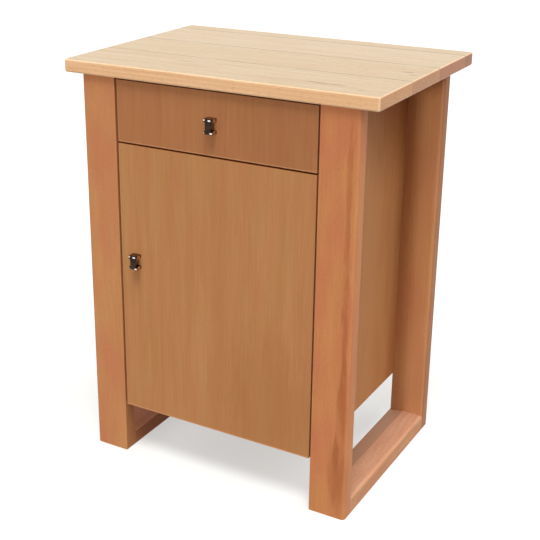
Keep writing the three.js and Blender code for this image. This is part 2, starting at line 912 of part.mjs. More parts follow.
function drawerBoxFront() {
  const grooveFront = boxFrontBack - drawerBox.grooveDepth - fitGap;
  const bar = prismX(
    polygon([
      [boxFront, boxBottom],
      [boxFrontBack, boxBottom],
      [boxFrontBack, boxBoardUnderside - fitGap],
      [grooveFront, boxBoardUnderside - fitGap],
      [grooveFront, boxBoardTop + fitGap],
      [boxFrontBack, boxBoardTop + fitGap],
      [boxFrontBack, boxTop],
      [boxFront, boxTop],
    ]),
    [-boxInner, boxInner],
  );
  return cut(bar, ...pullScrewHoles(0, drawerPullHeight, boxFrontBack));
}

function buildDrawer() {
  const group = new THREE.Group();
  const bottomHalfWidth = boxInner + drawerBox.grooveDepth;
  const side = drawerSide();
  group.add(
    piece('drawer_front', drawerFrontPanel(), frontVeneer()),
    piece('drawer_box_front', drawerBoxFront(), drawerBeech()),
    piece('drawer_side_right', side, drawerBeech()),
    piece('drawer_side_left', mirrored(side), drawerBeech()),
    piece(
      'drawer_back',
      block(
        [-boxInner, boxInner],
        [boxBack - drawerBox.boardThickness, boxBack],
        [boxBoardTop + fitGap, boxTop],
      ),
      drawerBeech(),
    ),
    piece(
      'drawer_bottom',
      block(
        [-bottomHalfWidth, bottomHalfWidth],
        [boxFrontBack - drawerBox.grooveDepth, boxBack],
        [boxBoardUnderside, boxBoardTop],
      ),
      plainBoard(),
    ),
    ...pullWithScrews('drawer', 0, drawerPullHeight, boxFrontBack),
  );
  return group;
}

function buildDrawerRunners() {
  const group = new THREE.Group();
  const runnerFront = frontBack + fitGap;
  const batten = block(
    [carcassInner - drawerRunner.thickness, carcassInner],
    [runnerFront, runnerFront + drawerRunner.length],
    [runnerBottom, runnerTop],
  );
  group.add(
    piece('drawer_runner_right', batten, drawerBeech()),
    piece('drawer_runner_left', mirrored(batten), drawerBeech()),
  );
  return group;
}

// The whole sideboard, moved so that the outline's middle is over the origin

const sideboard = new THREE.Group();
sideboard.position.y = -(pullFront + topBack) / 2;
sideboard.add(
  buildWorktop(),
  buildSled('left'),
  buildSled('right'),
  buildCarcass(),
  buildDrawerRunners(),
  buildDrawer(),
  buildDoor(),
);

export default sideboard;
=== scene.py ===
"""Looks of a beech sideboard: one drawer over one door between two sled frames.

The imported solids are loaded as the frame. Boards, frames, pulls and screws that show
their edges are modelled again with rounded, smoothly shaded arrises; every other solid
keeps its shape and gets its finish here.
"""

import logging
import math
from collections.abc import Callable, Iterable
from dataclasses import dataclass, field, replace
from enum import Enum

import bmesh
import bpy
from mathutils import Matrix, Vector


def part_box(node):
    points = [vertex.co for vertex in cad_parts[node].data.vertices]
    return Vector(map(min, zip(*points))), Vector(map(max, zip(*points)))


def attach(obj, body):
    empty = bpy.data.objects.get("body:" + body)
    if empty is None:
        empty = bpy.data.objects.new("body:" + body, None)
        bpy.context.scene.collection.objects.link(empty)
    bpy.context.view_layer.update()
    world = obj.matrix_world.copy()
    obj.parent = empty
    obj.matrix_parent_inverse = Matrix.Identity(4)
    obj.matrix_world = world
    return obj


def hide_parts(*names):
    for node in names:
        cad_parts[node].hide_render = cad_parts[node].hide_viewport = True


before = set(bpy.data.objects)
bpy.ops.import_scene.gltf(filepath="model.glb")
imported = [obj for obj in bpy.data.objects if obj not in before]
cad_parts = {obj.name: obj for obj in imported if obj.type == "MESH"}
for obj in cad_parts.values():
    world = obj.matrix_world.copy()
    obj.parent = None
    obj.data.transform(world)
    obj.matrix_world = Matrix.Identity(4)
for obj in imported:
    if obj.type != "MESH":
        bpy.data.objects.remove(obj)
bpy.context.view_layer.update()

log = logging.getLogger("sideboard")
logging.basicConfig(level=logging.INFO, format="%(message)s")

MM = 0.001
Colour = tuple[float, float, float, float]
Triple = tuple[float, float, float]
Piece = bpy.types.Object
Node = bpy.types.Node
Tree = bpy.types.NodeTree
Socket = bpy.types.NodeSocket
PlaceTest = Callable[[Vector, Vector], bool]


# Colour and nodes


def linear(code: str) -> Colour:
    """Turns an sRGB hex colour into the linear values that a shader takes.

    Args:
        code: A colour such as "#E4C79C".

    Returns:
        Red, green, blue and an alpha of one.
    """
    channels = [int(code[i:i + 2], 16) / 255 for i in (1, 3, 5)]
    values = [c / 12.92 if c <= 0.04045 else ((c + 0.055) / 1.055) ** 2.4 for c in channels]
    return (values[0], values[1], values[2], 1.0)


def add_node(tree: Tree, kind: str, inputs: dict[int | str, object] | None = None,
             **settings: object) -> Node:
    """Adds a node, sets its properties, and fills or links its sockets.

    Args:
        tree: The node tree that gets the node.
        kind: The node's type without its first word, such as "Math".
        inputs: Values or output sockets by the input's name or number.
        **settings: Properties of the node itself.

    Returns:
        The new node.
    """
    node = tree.nodes.new(f"ShaderNode{kind}")
    for key, value in settings.items():
        setattr(node, key, value)
    for key, value in (inputs or {}).items():
        if isinstance(value, Socket):
            tree.links.new(value, node.inputs[key])
        else:
            node.inputs[key].default_value = value
    return node


def new_material(name: str) -> tuple[bpy.types.Material, Tree, Node]:
    """Makes an empty material with one shader joined to its output.

    Args:
        name: The common name of the real material.

    Returns:
        The material, its node tree and its shader node.
    """
    material = bpy.data.materials.new(name)
    material.use_nodes = True
    tree = material.node_tree
    tree.nodes.clear()
    shader = add_node(tree, "BsdfPrincipled")
    add_node(tree, "OutputMaterial", {"Surface": shader.outputs[0]})
    return material, tree, shader


class Axis(Enum):
    """A direction of the frame, numbered as the parts of a vector are."""

    X = 0
    Y = 1
    Z = 2


class Grain(Enum):
    """The way that a board's fibres run, then the ways across and through it."""

    ALONG_X = (Axis.X, Axis.Y, Axis.Z)
    ALONG_Y = (Axis.Y, Axis.X, Axis.Z)
    ALONG_Z = (Axis.Z, Axis.X, Axis.Y)


@dataclass(frozen=True)
class Mark:
    """A darker or paler place in one piece, such as a streak or a small knot, or painted light or shade such
    as a glint, a reflection or a shadow.
    """

    centre: Triple
    reach: Triple
    colour: str
    strength: float = 0.7
    ragged: float = 0.5

    def distance(self, tree: Tree, place: Socket) -> Socket:
        """Says how far a point lies from the mark's centre, as a share of its reach.

        Args:
            tree: The material's nodes.
            place: Place on the piece.

        Returns:
            Nought at the centre and one at the edge.
        """
        away = add_node(tree, "VectorMath", {0: place, 1: self.centre}, operation="SUBTRACT")
        share = add_node(tree, "VectorMath", {
            0: away.outputs[0], 1: tuple(1 / reach for reach in self.reach)}, operation="MULTIPLY")
        size = add_node(tree, "VectorMath", {0: share.outputs[0]}, operation="LENGTH")
        return size.outputs["Value"]

    def amount(self, tree: Tree, distance: Socket, core: float) -> Socket:
        """Fades the mark out from its core to its edge.

        Args:
            tree: The material's nodes.
            distance: What distance gives, or that with a ragged edge.
            core: The share of the reach that has the mark's full strength.

        Returns:
            How much of the mark's colour a point has.
        """
        return add_node(tree, "MapRange", {0: distance, 1: core, 2: 1.0, 3: self.strength, 4: 0.0},
                        interpolation_type="SMOOTHSTEP").outputs[0]


@dataclass(frozen=True)
class Band:
    """A straight band of another tone, such as a glue line, or a painted highlight or painted shade along an
    edge or a facet.
    """

    axis: Axis
    middle: float
    half: float
    colour: str
    strength: float = 1.0
    soft_mm: float = 0.6
    broken: float = 0.0
    lowest: float = -1.0


@dataclass(frozen=True)
class FaceTint:
    """A tone that only the faces along one axis have: end grain, or painted light and shade on faces that the
    light falls on differently.
    """

    axis: Axis
    colour: str


@dataclass(frozen=True)
class Layer:
    """A colour laid over what is below it, or a tone that multiplies it, as end grain and painted face shade
    do.
    """

    amount: Socket
    colour: str
    multiplies: bool = False


def layered(tree: Tree, ground: str, layers: Iterable[Layer]) -> Socket:
    """Lays colours over a ground, one after another.

    Args:
        tree: The material's nodes.
        ground: The colour below them.
        layers: What is laid over it, from the bottom.

    Returns:
        The colour that shows.
    """
    colour = linear(ground)
    for layer in layers:
        colour = add_node(tree, "Mix", {0: layer.amount, 6: colour, 7: linear(layer.colour)},
                          data_type="RGBA", blend_type="MULTIPLY" if layer.multiplies else "MIX").outputs[2]
    return colour


@dataclass(frozen=True)
class Finish:
    """The finish of a surface, drawn once as a material for all pieces that have it."""

    name: str

    def material(self) -> bpy.types.Material:
        """Draws the material, or finds it where another piece has it already.

        Returns:
            The material.
        """
        known = bpy.data.materials.get(self.name)
        if known is None:
            known, tree, shader = new_material(self.name)
            self.draw(tree, shader)
        return known

    def draw(self, tree: Tree, shader: Node) -> None:
        """Draws the finish in an empty material; each kind of finish has its own way."""
        raise NotImplementedError

    def join(self, tree: Tree, shader: Node, colour: Socket, grit: Socket,
             gloss: tuple[float, float], bump: tuple[float, float]) -> None:
        """Joins the colour to the shader, and roughness and relief that follow one grit.

        Args:
            tree: The material's nodes.
            shader: Its shader.
            colour: The finished colour.
            grit: The noise of fibres, scratches or pebbles.
            gloss: Roughness where the grit is lowest and where it is highest.
            bump: Strength of the relief, and its depth in millimetres.
        """
        rough = add_node(tree, "MapRange", {0: grit, 1: 0.3, 2: 0.7, 3: gloss[0], 4: gloss[1]})
        relief = add_node(tree, "Bump", {"Strength": bump[0], "Distance": bump[1] * MM, "Height": grit})
        tree.links.new(colour, shader.inputs["Base Color"])
        tree.links.new(rough.outputs[0], shader.inputs["Roughness"])
        tree.links.new(relief.outputs[0], shader.inputs["Normal"])


@dataclass(frozen=True)
class Wood:
    """The nodes of one wooden material, and where a point lies on the piece and in it."""

    tree: Tree
    place: Socket
    normal: Socket
    inside: Socket
    across: Socket
    through: Socket

    def noise(self, width_mm: float, stretch: float, detail: float) -> Socket:
        """Gives noise whose grains are width_mm across and stretch times as long.

        Args:
            width_mm: Width of one grain of the noise.
            stretch: Length over width.
            detail: Octaves of finer noise.

        Returns:
            The noise value, about 0.5 in the middle.
        """
        scale = 1 / (width_mm * MM)
        drawn = add_node(self.tree, "VectorMath", {0: self.inside, 1: (scale / stretch, scale, scale)},
                         operation="MULTIPLY")
        return add_node(self.tree, "TexNoise", {
            "Vector": drawn.outputs[0], "Scale": 1.0, "Detail": detail, "Roughness": 0.55}).outputs[0]


@dataclass(frozen=True)
class WoodFinish(Finish):
    """Lacquered timber: growth rings, fibres and short dark rays along one grain."""

    pale: str
    middle: str
    deep: str
    ray: str
    end: str
    grain: Grain
    pith: tuple[float, float] = (0.02, -0.11)
    ring_mm: float = 7.0
    ring_strength: float = 0.3
    ring_drift_mm: float = 14.0
    fibre_strength: float = 0.3
    fibre_mm: float = 1.6
    fibre_stretch: float = 60.0
    ray_length_mm: float = 9.0
    ray_width_mm: float = 1.3
    ray_strength: float = 0.4
    cloud_mm: float = 28.0
    cloud_strength: float = 0.35
    blush: str = "#B0683C"
    blush_strength: float = 0.0
    blush_mm: float = 30.0
    blush_stretch: float = 5.0
    # Paler arrises: partly wear and partly painted highlight.
    wear_and_sheen: str = "#E8BE92"
    wear_and_sheen_strength: float = 0.15
    roughness: float = 0.44
    specular: float = 0.12
    coat: float = 0.0
    coat_roughness: float = 0.25
    bump: float = 0.12
    bump_mm: float = 0.4
    start: Triple = (0.0, 0.0, 0.0)
    marks: tuple[Mark, ...] = ()
    bands: tuple[Band, ...] = ()
    # Painted light and shade: tones on the faces that look along one axis, for how the light falls on them.
    painted_face_light: tuple[FaceTint, ...] = ()

    def draw(self, tree: Tree, shader: Node) -> None:
        """Draws the wood from its ground colour up to the paler arrises, where wear and painted highlight
        lie.

        Args:
            tree: The material's nodes.
            shader: Its shader.
        """
        place = add_node(tree, "TexCoord")
        moved = add_node(tree, "VectorMath", {0: place.outputs["Object"], 1: self.start}, operation="ADD")
        split = add_node(tree, "SeparateXYZ", {0: moved.outputs[0]})
        along, across, through = (split.outputs[axis.value] for axis in self.grain.value)
        inside = add_node(tree, "CombineXYZ", {0: along, 1: across, 2: through})
        wood = Wood(tree, place.outputs["Object"], place.outputs["Normal"], inside.outputs[0], across,
                    through)
        fibre = wood.noise(self.fibre_mm, self.fibre_stretch, 3.0)
        rays = wood.noise(self.ray_width_mm, self.ray_length_mm / self.ray_width_mm, 1.0)
        blush = wood.noise(self.blush_mm, self.blush_stretch, 1.0)
        cloud, share = wood.noise(self.cloud_mm, 9.0, 3.0), self.cloud_strength
        drawn = ((cloud, 0.3, 0.7, 0.5 - share, 0.5 + share, self.pale),
                 (self.rings(wood), 0.0, 1.0, 0.0, self.ring_strength, self.deep),
                 (blush, 0.38, 0.66, 0.0, self.blush_strength, self.blush),
                 (fibre, 0.35, 0.65, 0.0, self.fibre_strength, self.deep),
                 (rays, 0.6, 0.72, 0.0, self.ray_strength, self.ray))
        layers = [Layer(add_node(tree, "MapRange", dict(enumerate(values))).outputs[0], colour)
                  for *values, colour in drawn]
        layers += [Layer(self.mark_amount(wood, mark), mark.colour) for mark in self.marks]
        layers += [Layer(self.band_amount(wood, band), band.colour) for band in self.bands]
        layers += [Layer(self.facing(wood, tint.axis), tint.colour, multiplies=True)
                   for tint in (FaceTint(self.grain.value[0], self.end),) + self.painted_face_light]
        layers.append(Layer(self.arrises(wood), self.wear_and_sheen))
        self.join(tree, shader, layered(tree, self.middle, layers), fibre,
                  (self.roughness - 0.05, self.roughness + 0.07), (self.bump, self.bump_mm))
        shader.inputs["Specular IOR Level"].default_value = self.specular
        shader.inputs["Coat Weight"].default_value = self.coat
        shader.inputs["Coat Roughness"].default_value = self.coat_roughness

    def rings(self, wood: Wood) -> Socket:
        """Draws growth rings about the pith, fainter in some places than in others.

        Args:
            wood: The material's nodes and places.

        Returns:
            One in the late wood of a ring, and nought in its early wood.
        """
        tree, drift = wood.tree, self.ring_drift_mm * MM
        swing = add_node(tree, "MapRange", {
            0: wood.noise(70.0, 6.0, 2.0), 1: 0.3, 2: 0.7, 3: -drift, 4: drift})
        side = add_node(tree, "Math", {0: wood.across, 1: self.pith[0]}, operation="SUBTRACT")
        side = add_node(tree, "Math", {0: side.outputs[0], 1: swing.outputs[0]}, operation="ADD")
        depth = add_node(tree, "Math", {0: wood.through, 1: self.pith[1]}, operation="SUBTRACT")
        flat = add_node(tree, "CombineXYZ", {1: side.outputs[0], 2: depth.outputs[0]})
        radius = add_node(tree, "VectorMath", {0: flat.outputs[0]}, operation="LENGTH")
        count = add_node(tree, "Math", {0: radius.outputs["Value"], 1: 1 / (self.ring_mm * MM)},
                         operation="MULTIPLY")
        year = add_node(tree, "Math", {0: count.outputs[0], 1: 1.0}, operation="FRACT")
        late, early = (add_node(tree, "MapRange", {
            0: year.outputs[0], 1: start, 2: end, 3: first, 4: 1 - first}, interpolation_type="SMOOTHSTEP")
                       for start, end, first in ((0.15, 0.85, 0.0), (0.88, 1.0, 1.0)))
        ring = add_node(tree, "Math", {0: late.outputs[0], 1: early.outputs[0]}, operation="MULTIPLY")
        faint = add_node(tree, "MapRange", {0: wood.noise(40.0, 5.0, 2.0), 1: 0.35, 2: 0.65, 3: 0.25, 4: 1.0})
        return add_node(tree, "Math", {0: ring.outputs[0], 1: faint.outputs[0]},
                        operation="MULTIPLY").outputs[0]

    def mark_amount(self, wood: Wood, mark: Mark) -> Socket:
        """Gives how much of a mark each point has, with a ragged edge along the grain.

        Args:
            wood: The material's nodes and places.
            mark: What is drawn.

        Returns:
            The amount.
        """
        rough = add_node(wood.tree, "MapRange", {
            0: wood.noise(9.0, 7.0, 3.0), 1: 0.25, 2: 0.75, 3: -mark.ragged, 4: mark.ragged})
        edge = add_node(wood.tree, "Math", {0: mark.distance(wood.tree, wood.place), 1: rough.outputs[0]},
                        operation="ADD")
        return mark.amount(wood.tree, edge.outputs[0], 0.25)

    def band_amount(self, wood: Wood, band: Band) -> Socket:
        """Gives how much of a band each point has, a little broken along the grain.

        Args:
            wood: The material's nodes and places.
            band: What is drawn.

        Returns:
            The amount.
        """
        tree, soft = wood.tree, band.soft_mm * MM
        split = add_node(tree, "SeparateXYZ", {0: wood.place})
        away = add_node(tree, "Math", {0: split.outputs[band.axis.value], 1: band.middle},
                        operation="SUBTRACT")
        away = add_node(tree, "Math", {0: away.outputs[0]}, operation="ABSOLUTE")
        amount = add_node(tree, "MapRange", {
            0: away.outputs[0], 1: band.half - soft, 2: band.half + soft, 3: band.strength, 4: 0.0},
            interpolation_type="SMOOTHSTEP")
        broken = add_node(tree, "MapRange", {
            0: wood.noise(6.0, 8.0, 2.0), 1: 0.3, 2: 0.6, 3: 1.0 - band.broken, 4: 1.0})
        high = add_node(tree, "MapRange", {
            0: split.outputs[2], 1: band.lowest - MM, 2: band.lowest, 3: 0.0, 4: 1.0})
        for part in (broken, high):
            amount = add_node(tree, "Math", {0: amount.outputs[0], 1: part.outputs[0]}, operation="MULTIPLY")
        return amount.outputs[0]

    def facing(self, wood: Wood, axis: Axis) -> Socket:
        """Gives one on the faces that look along an axis, either way, and nought on others.

        Args:
            wood: The material's nodes and places.
            axis: The axis.

        Returns:
            The amount.
        """
        split = add_node(wood.tree, "SeparateXYZ", {0: wood.normal})
        facing = add_node(wood.tree, "Math", {0: split.outputs[axis.value]}, operation="ABSOLUTE")
        return add_node(wood.tree, "MapRange", {
            0: facing.outputs[0], 1: 0.6, 2: 0.95, 3: 0.0, 4: 1.0}).outputs[0]

    def arrises(self, wood: Wood) -> Socket:
        """Finds the rounded arrises, which are drawn paler: partly wear, where sanding and hands thin the
        finish, and partly painted highlight along the rounding.

        Args:
            wood: The material's nodes and places.

        Returns:
            How much of the pale arris tone, wear and painted highlight, each point has.
        """
        tree = wood.tree
        size = add_node(tree, "VectorMath", {0: wood.normal}, operation="ABSOLUTE")
        split = add_node(tree, "SeparateXYZ", {0: size.outputs[0]})
        most = split.outputs[0]
        for other in split.outputs[1:]:
            most = add_node(tree, "Math", {0: most, 1: other}, operation="MAXIMUM").outputs[0]
        return add_node(tree, "MapRange", {
            0: most, 1: 0.97, 2: 0.8, 3: 0.0, 4: self.wear_and_sheen_strength}).outputs[0]


@dataclass(frozen=True)
class MetalFinish(Finish):
    """Plated or bare metal: a bright surface with fine scratches and slight clouding."""

    colour: str
    shade: str
    roughness: float
    spread: float
    scratch_mm: float = 0.8
    bump: float = 0.05
    marks: tuple[Mark, ...] = ()

    def draw(self, tree: Tree, shader: Node) -> None:
        """Draws the metal.

        Args:
            tree: The material's nodes.
            shader: Its shader.
        """
        place = add_node(tree, "TexCoord").outputs["Object"]
        scale = 1 / (self.scratch_mm * MM)
        drawn = add_node(tree, "VectorMath", {0: place, 1: (scale, scale, scale / 8)}, operation="MULTIPLY")
        scratch = add_node(tree, "TexNoise", {"Vector": drawn.outputs[0], "Scale": 1.0, "Detail": 2.0})
        cloud = add_node(tree, "TexNoise", {"Vector": place, "Scale": 90.0, "Detail": 3.0})
        tint = add_node(tree, "MapRange", {0: cloud.outputs[0], 1: 0.3, 2: 0.7, 3: 0.0, 4: 1.0})
        layers = [Layer(tint.outputs[0], self.shade)]
        layers += [Layer(mark.amount(tree, mark.distance(tree, place), 0.45), mark.colour)
                   for mark in self.marks]
        self.join(tree, shader, layered(tree, self.colour, layers), scratch.outputs[0],
                  (self.roughness, self.roughness + self.spread), (self.bump, 0.1))
        shader.inputs["Metallic"].default_value = 1.0


@dataclass(frozen=True)
class PlainFinish(Finish):
    """Pressed board or moulded rubber: a mottled surface with a fine pebble."""

    colour: str
    shade: str
    roughness: float
    mottle_mm: float
    bump: float
    transmission: float = 0.0

    def draw(self, tree: Tree, shader: Node) -> None:
        """Draws the mottled surface.

        Args:
            tree: The material's nodes.
            shader: Its shader.
        """
        place = add_node(tree, "TexCoord").outputs["Object"]
        speck = add_node(tree, "TexNoise", {
            "Vector": place, "Scale": 1 / (self.mottle_mm * MM), "Detail": 4.0, "Roughness": 0.7})
        tint = add_node(tree, "MapRange", {0: speck.outputs[0], 1: 0.35, 2: 0.65, 3: 0.0, 4: 1.0})
        colour = layered(tree, self.colour, [Layer(tint.outputs[0], self.shade)])
        self.join(tree, shader, colour, speck.outputs[0], (self.roughness, self.roughness + 0.12),
                  (self.bump, 0.3))
        shader.inputs["Transmission Weight"].default_value = self.transmission


# The glue lines are a fraction of a millimetre wide; they are drawn a few millimetres wide so that they still
# show from two metres away, each with a pale band beside it: a painted highlight on the eased edge.
GLUE_LINES_AND_GLINTS = tuple(band for y in (-0.0925, 0.0525, 0.2025) for band in (
    Band(Axis.Y, y, 0.0017, "#7E4A20", 0.9, 0.8, 0.5, 0.898),
    Band(Axis.Y, y - 0.0040, 0.0011, "#FFF0D6", 0.5, 0.8, 0.5, 0.898)))


# Solid beech under a clear satin lacquer: honey coloured, with short dark rays and
# quiet rings; the worktop's boards differ a little in tone.
def worktop_beech(number: int, pale: str, middle: str, deep: str, end: str, pith: tuple[float, float],
                  marks: tuple[Mark, ...] = ()) -> WoodFinish:
    """Gives the beech of one worktop board, cut from its own place in the log.

    Args:
        number: Counts the boards from the front.
        pale: Colour of its palest wood.
        middle: Colour of most of it.
        deep: Colour of its late rings.
        end: Tone of its end grain, darker on the rear boards as painted shade.
        pith: Where the log's centre lies, across and up.
        marks: Streaks in this board.

    Returns:
        The finish.
    """
    # The paler arrises are partly wear and partly painted highlight; the face tints are painted light,
    # greying the top face down and the front and rear faces a little.
    return WoodFinish(
        name=f"lacquered beech worktop board {number}", pale=pale, middle=middle, deep=deep,
        ray="#9C6A3C", end=end, grain=Grain.ALONG_X, pith=pith, ring_mm=9.0,
        ring_strength=0.3, fibre_strength=0.2, ray_length_mm=11.0, ray_width_mm=1.5,
        ray_strength=0.36, wear_and_sheen="#FCEBD0", wear_and_sheen_strength=0.3, roughness=0.36, specular=0.2, coat=0.12,
        coat_roughness=0.2, start=(0.37 * number, 0.11 * number, 0.07 * number), marks=marks,
        bands=GLUE_LINES_AND_GLINTS, painted_face_light=(FaceTint(Axis.Y, "#FFF8F6"), FaceTint(Axis.Z, "#D6E0E6")))


# The end tones darken from the front board to the rear one: painted shade along the worktop's ends.
WORKTOP_BEECH = (
    worktop_beech(1, "#F1CEA4", "#E6BD8D", "#CB955F", "#E0C5AA", (-0.12, 0.74), (
        Mark((0.206, -0.188, 0.9), (0.036, 0.0042, 0.02), "#86552F", 0.9, 0.4),
        Mark((0.246, -0.187, 0.9), (0.026, 0.0038, 0.02), "#94653C", 0.8, 0.45),
        Mark((0.300, -0.2095, 0.9), (0.018, 0.0036, 0.02), "#94653C", 0.8, 0.35),
        Mark((-0.119, -0.1405, 0.9), (0.028, 0.0036, 0.02), "#94653C", 0.75, 0.4))),
    worktop_beech(2, "#F0CDA2", "#E5BC8B", "#C9935E", "#CEAF94", (-0.02, 0.70), (
        Mark((0.317, -0.0165, 0.9), (0.019, 0.0046, 0.02), "#9A6B40", 0.75, 0.4),
        Mark((0.334, -0.0390, 0.9), (0.016, 0.0046, 0.02), "#9A6B40", 0.75, 0.4))),
    worktop_beech(3, "#F3D1A9", "#E9C094", "#CE9A64", "#BE9070", (0.16, 0.76)),
    worktop_beech(4, "#F0CDA3", "#E6BD8E", "#C9935E", "#AE7E5B", (0.24, 0.72)),
)

# Solid beech, stained warmer than the top: orange brown, grain upright.
PLAIN_POST = WoodFinish(
    name="stained beech post", pale="#CE9561", middle="#C18555", deep="#A36941", ray="#884D2E",
    end="#C9966E", grain=Grain.ALONG_Z, pith=(0.19, 0.05), ring_mm=8.0, ring_strength=0.17,
    fibre_strength=0.16, ray_length_mm=8.0, ray_width_mm=1.2, ray_strength=0.24, cloud_strength=0.25,
    blush="#C37C57", blush_strength=0.75, blush_mm=65.0, blush_stretch=2.2, wear_and_sheen_strength=0.06)
LEG_BEECH = replace(PLAIN_POST, marks=(
    # A redder patch low on the left front post's inner face: painted light bounced from the floor.
    Mark((-0.2325, -0.2175, 0.04), (0.006, 0.03, 0.12), "#C97A4C", 0.3, 0.2),))
STREAKED_LEG_BEECH = replace(
    PLAIN_POST, name="stained beech post with a dark heart streak", pale="#D1915C", middle="#C38050",
    deep="#A5653C", pith=(0.37, 0.06), ring_strength=0.2, fibre_strength=0.18,
    start=(0.1, 0.2, 0.0), blush="#C47854",
    # A pale line along the rear arris of the outer face: painted highlight.
    bands=(Band(Axis.Y, -0.2018, 0.0022, "#DDB08A", 0.5, 1.0),),
    marks=(Mark((0.2985, -0.235, 0.68), (0.0085, 0.05, 0.22), "#A9633A", 0.55, 0.6),
           Mark((0.302, -0.235, 0.42), (0.0085, 0.05, 0.18), "#A65F37", 0.6, 0.55),
           Mark((0.302, -0.235, 0.262), (0.015, 0.05, 0.130), "#A05A32", 0.6, 0.3),
           Mark((0.297, -0.235, 0.095), (0.029, 0.03, 0.110), "#9E5A34", 0.6, 0.2),
           Mark((0.292, -0.235, 0.150), (0.010, 0.03, 0.060), "#A05A32", 0.5, 0.3)))
REAR_LEG_BEECH = replace(
    PLAIN_POST, name="stained beech post, plain", pale="#CB9465", middle="#BE8556", deep="#A66E45",
    ray="#84492A", pith=(0.2, 0.31), ring_mm=7.0, ring_strength=0.22, fibre_strength=0.22,
    cloud_strength=0.35, start=(0.5, 0.0, 0.3), blush="#BE8059", blush_strength=0.6,
    # Its side faces are tinted darker and greyer: painted shade.
    painted_face_light=(FaceTint(Axis.X, "#DCD2CC"),))
# The right rail: its inner strip, on the bevel, is painted darker as painted shade, and its side faces are
# tinted as painted light.
RUNNER_BEECH = WoodFinish(
    name="stained beech floor rail", pale="#D2A486", middle="#CA9777", deep="#A26C4A",
    ray="#8F5530", end="#C9966E", grain=Grain.ALONG_Y, pith=(0.2, -0.09), ring_mm=8.0,
    fibre_strength=0.24, ray_strength=0.35, start=(0.2, 0.3, 0.1), blush="#C08466",
    blush_strength=0.5, wear_and_sheen_strength=0.06, bands=(Band(Axis.X, 0.2505, 0.0165, "#A2795F", 0.8, 1.2),),
    painted_face_light=(FaceTint(Axis.X, "#FFF4DC"),))
# The left rail, which lies in shade under the box: a redder copy of the rail beech, as painted warm bounce
# light, with its side faces tinted darker as painted shade.
RED_RUNNER_BEECH = replace(
    RUNNER_BEECH, name="stained beech floor rail, redder", pale="#E59C72", middle="#DA8C62",
    deep="#A5673F", start=(0.6, 0.1, 0.4), blush="#C47B55", bands=(),
    painted_face_light=(FaceTint(Axis.X, "#DFD6CB"),))

# Beech veneer on board: straighter and quieter than the solid wood, a touch browner.
PLAIN_VENEER = WoodFinish(
    name="upright beech veneer", pale="#BF8D5C", middle="#B47F4E", deep="#9E653A", ray="#8C552D",
    end="#E4B98F", grain=Grain.ALONG_Z, pith=(0.05, -0.75), ring_mm=10.0, ring_strength=0.22,
    ring_drift_mm=5.0, fibre_strength=0.26, fibre_mm=1.8, ray_length_mm=6.0, ray_width_mm=1.2,
    ray_strength=0.2, cloud_strength=0.4, bump=0.08)
DOOR_VENEER = replace(
    PLAIN_VENEER, name="upright beech veneer on the door", blush="#BD7E56", blush_strength=0.5,
    marks=(Mark((0.14, -0.233, 0.21), (0.17, 0.03, 0.22), "#A46E40", 0.45, 0.3),),
    bands=(Band(Axis.Z, 0.1215, 0.0022, "#CD946A", 0.8, 0.8),))
DRAWER_VENEER = replace(
    PLAIN_VENEER, name="upright beech veneer on the drawer", pale="#B57F52", middle="#AA7247",
    deep="#955D38", pith=(-0.08, -0.7), start=(0.31, 0.0, 0.44), blush="#AC704D", blush_strength=0.5,
    marks=(Mark((0.15, -0.233, 0.80), (0.17, 0.03, 0.13), "#9A6440", 0.35, 0.3),),
    bands=(Band(Axis.Z, 0.7385, 0.0018, "#C48D63", 0.7, 0.8),))
PLAIN_BOX_VENEER = replace(
    PLAIN_VENEER, end="#DDB28A", ring_mm=11.0, ring_strength=0.2, ring_drift_mm=6.0,
    fibre_strength=0.24, ray_strength=0.18, roughness=0.46)
CARCASS_VENEER = replace(
    PLAIN_BOX_VENEER, name="beech veneer on the box", pale="#C18A59", middle="#B77B4B", deep="#A1683B",
    pith=(0.1, -0.8), start=(0.7, 0.4, 0.1),
    # The right side's upper rear, under the worktop and beside the rear post, is painted darker: painted
    # shade.
    marks=(Mark((0.234, 0.16, 0.90), (0.02, 0.30, 0.34), "#7A4524", 0.80, 0.06),))
SHELF_VENEER = replace(
    PLAIN_BOX_VENEER, name="beech veneer on the level boards", pale="#C6925F", middle="#BA8453",
    deep="#9F693D", grain=Grain.ALONG_X, pith=(0.1, -0.6), start=(0.2, 0.9, 0.3))

# Bare beech inside: paler and matt, because it is only sanded.
DRAWER_BEECH = WoodFinish(
    name="sanded beech drawer board", pale="#E0B98A", middle="#D3A878", deep="#B98B5C",
    ray="#99683C", end="#D9B08A", grain=Grain.ALONG_Y, pith=(0.1, 0.68), ring_strength=0.25,
    fibre_strength=0.22, ray_length_mm=7.0, ray_width_mm=1.2, ray_strength=0.35, wear_and_sheen_strength=0.0,
    roughness=0.55, start=(0.3, 0.1, 0.2))
CROSS_BEECH = replace(
    DRAWER_BEECH, name="sanded beech drawer end", grain=Grain.ALONG_X, start=(0.1, 0.5, 0.2))

# Thin pressed fibre board: brown, mottled and matt.
PLAIN_BOARD = PlainFinish("pressed fibre board", "#C79F70", "#B48A5C", roughness=0.62, mottle_mm=2.2,
                          bump=0.2)


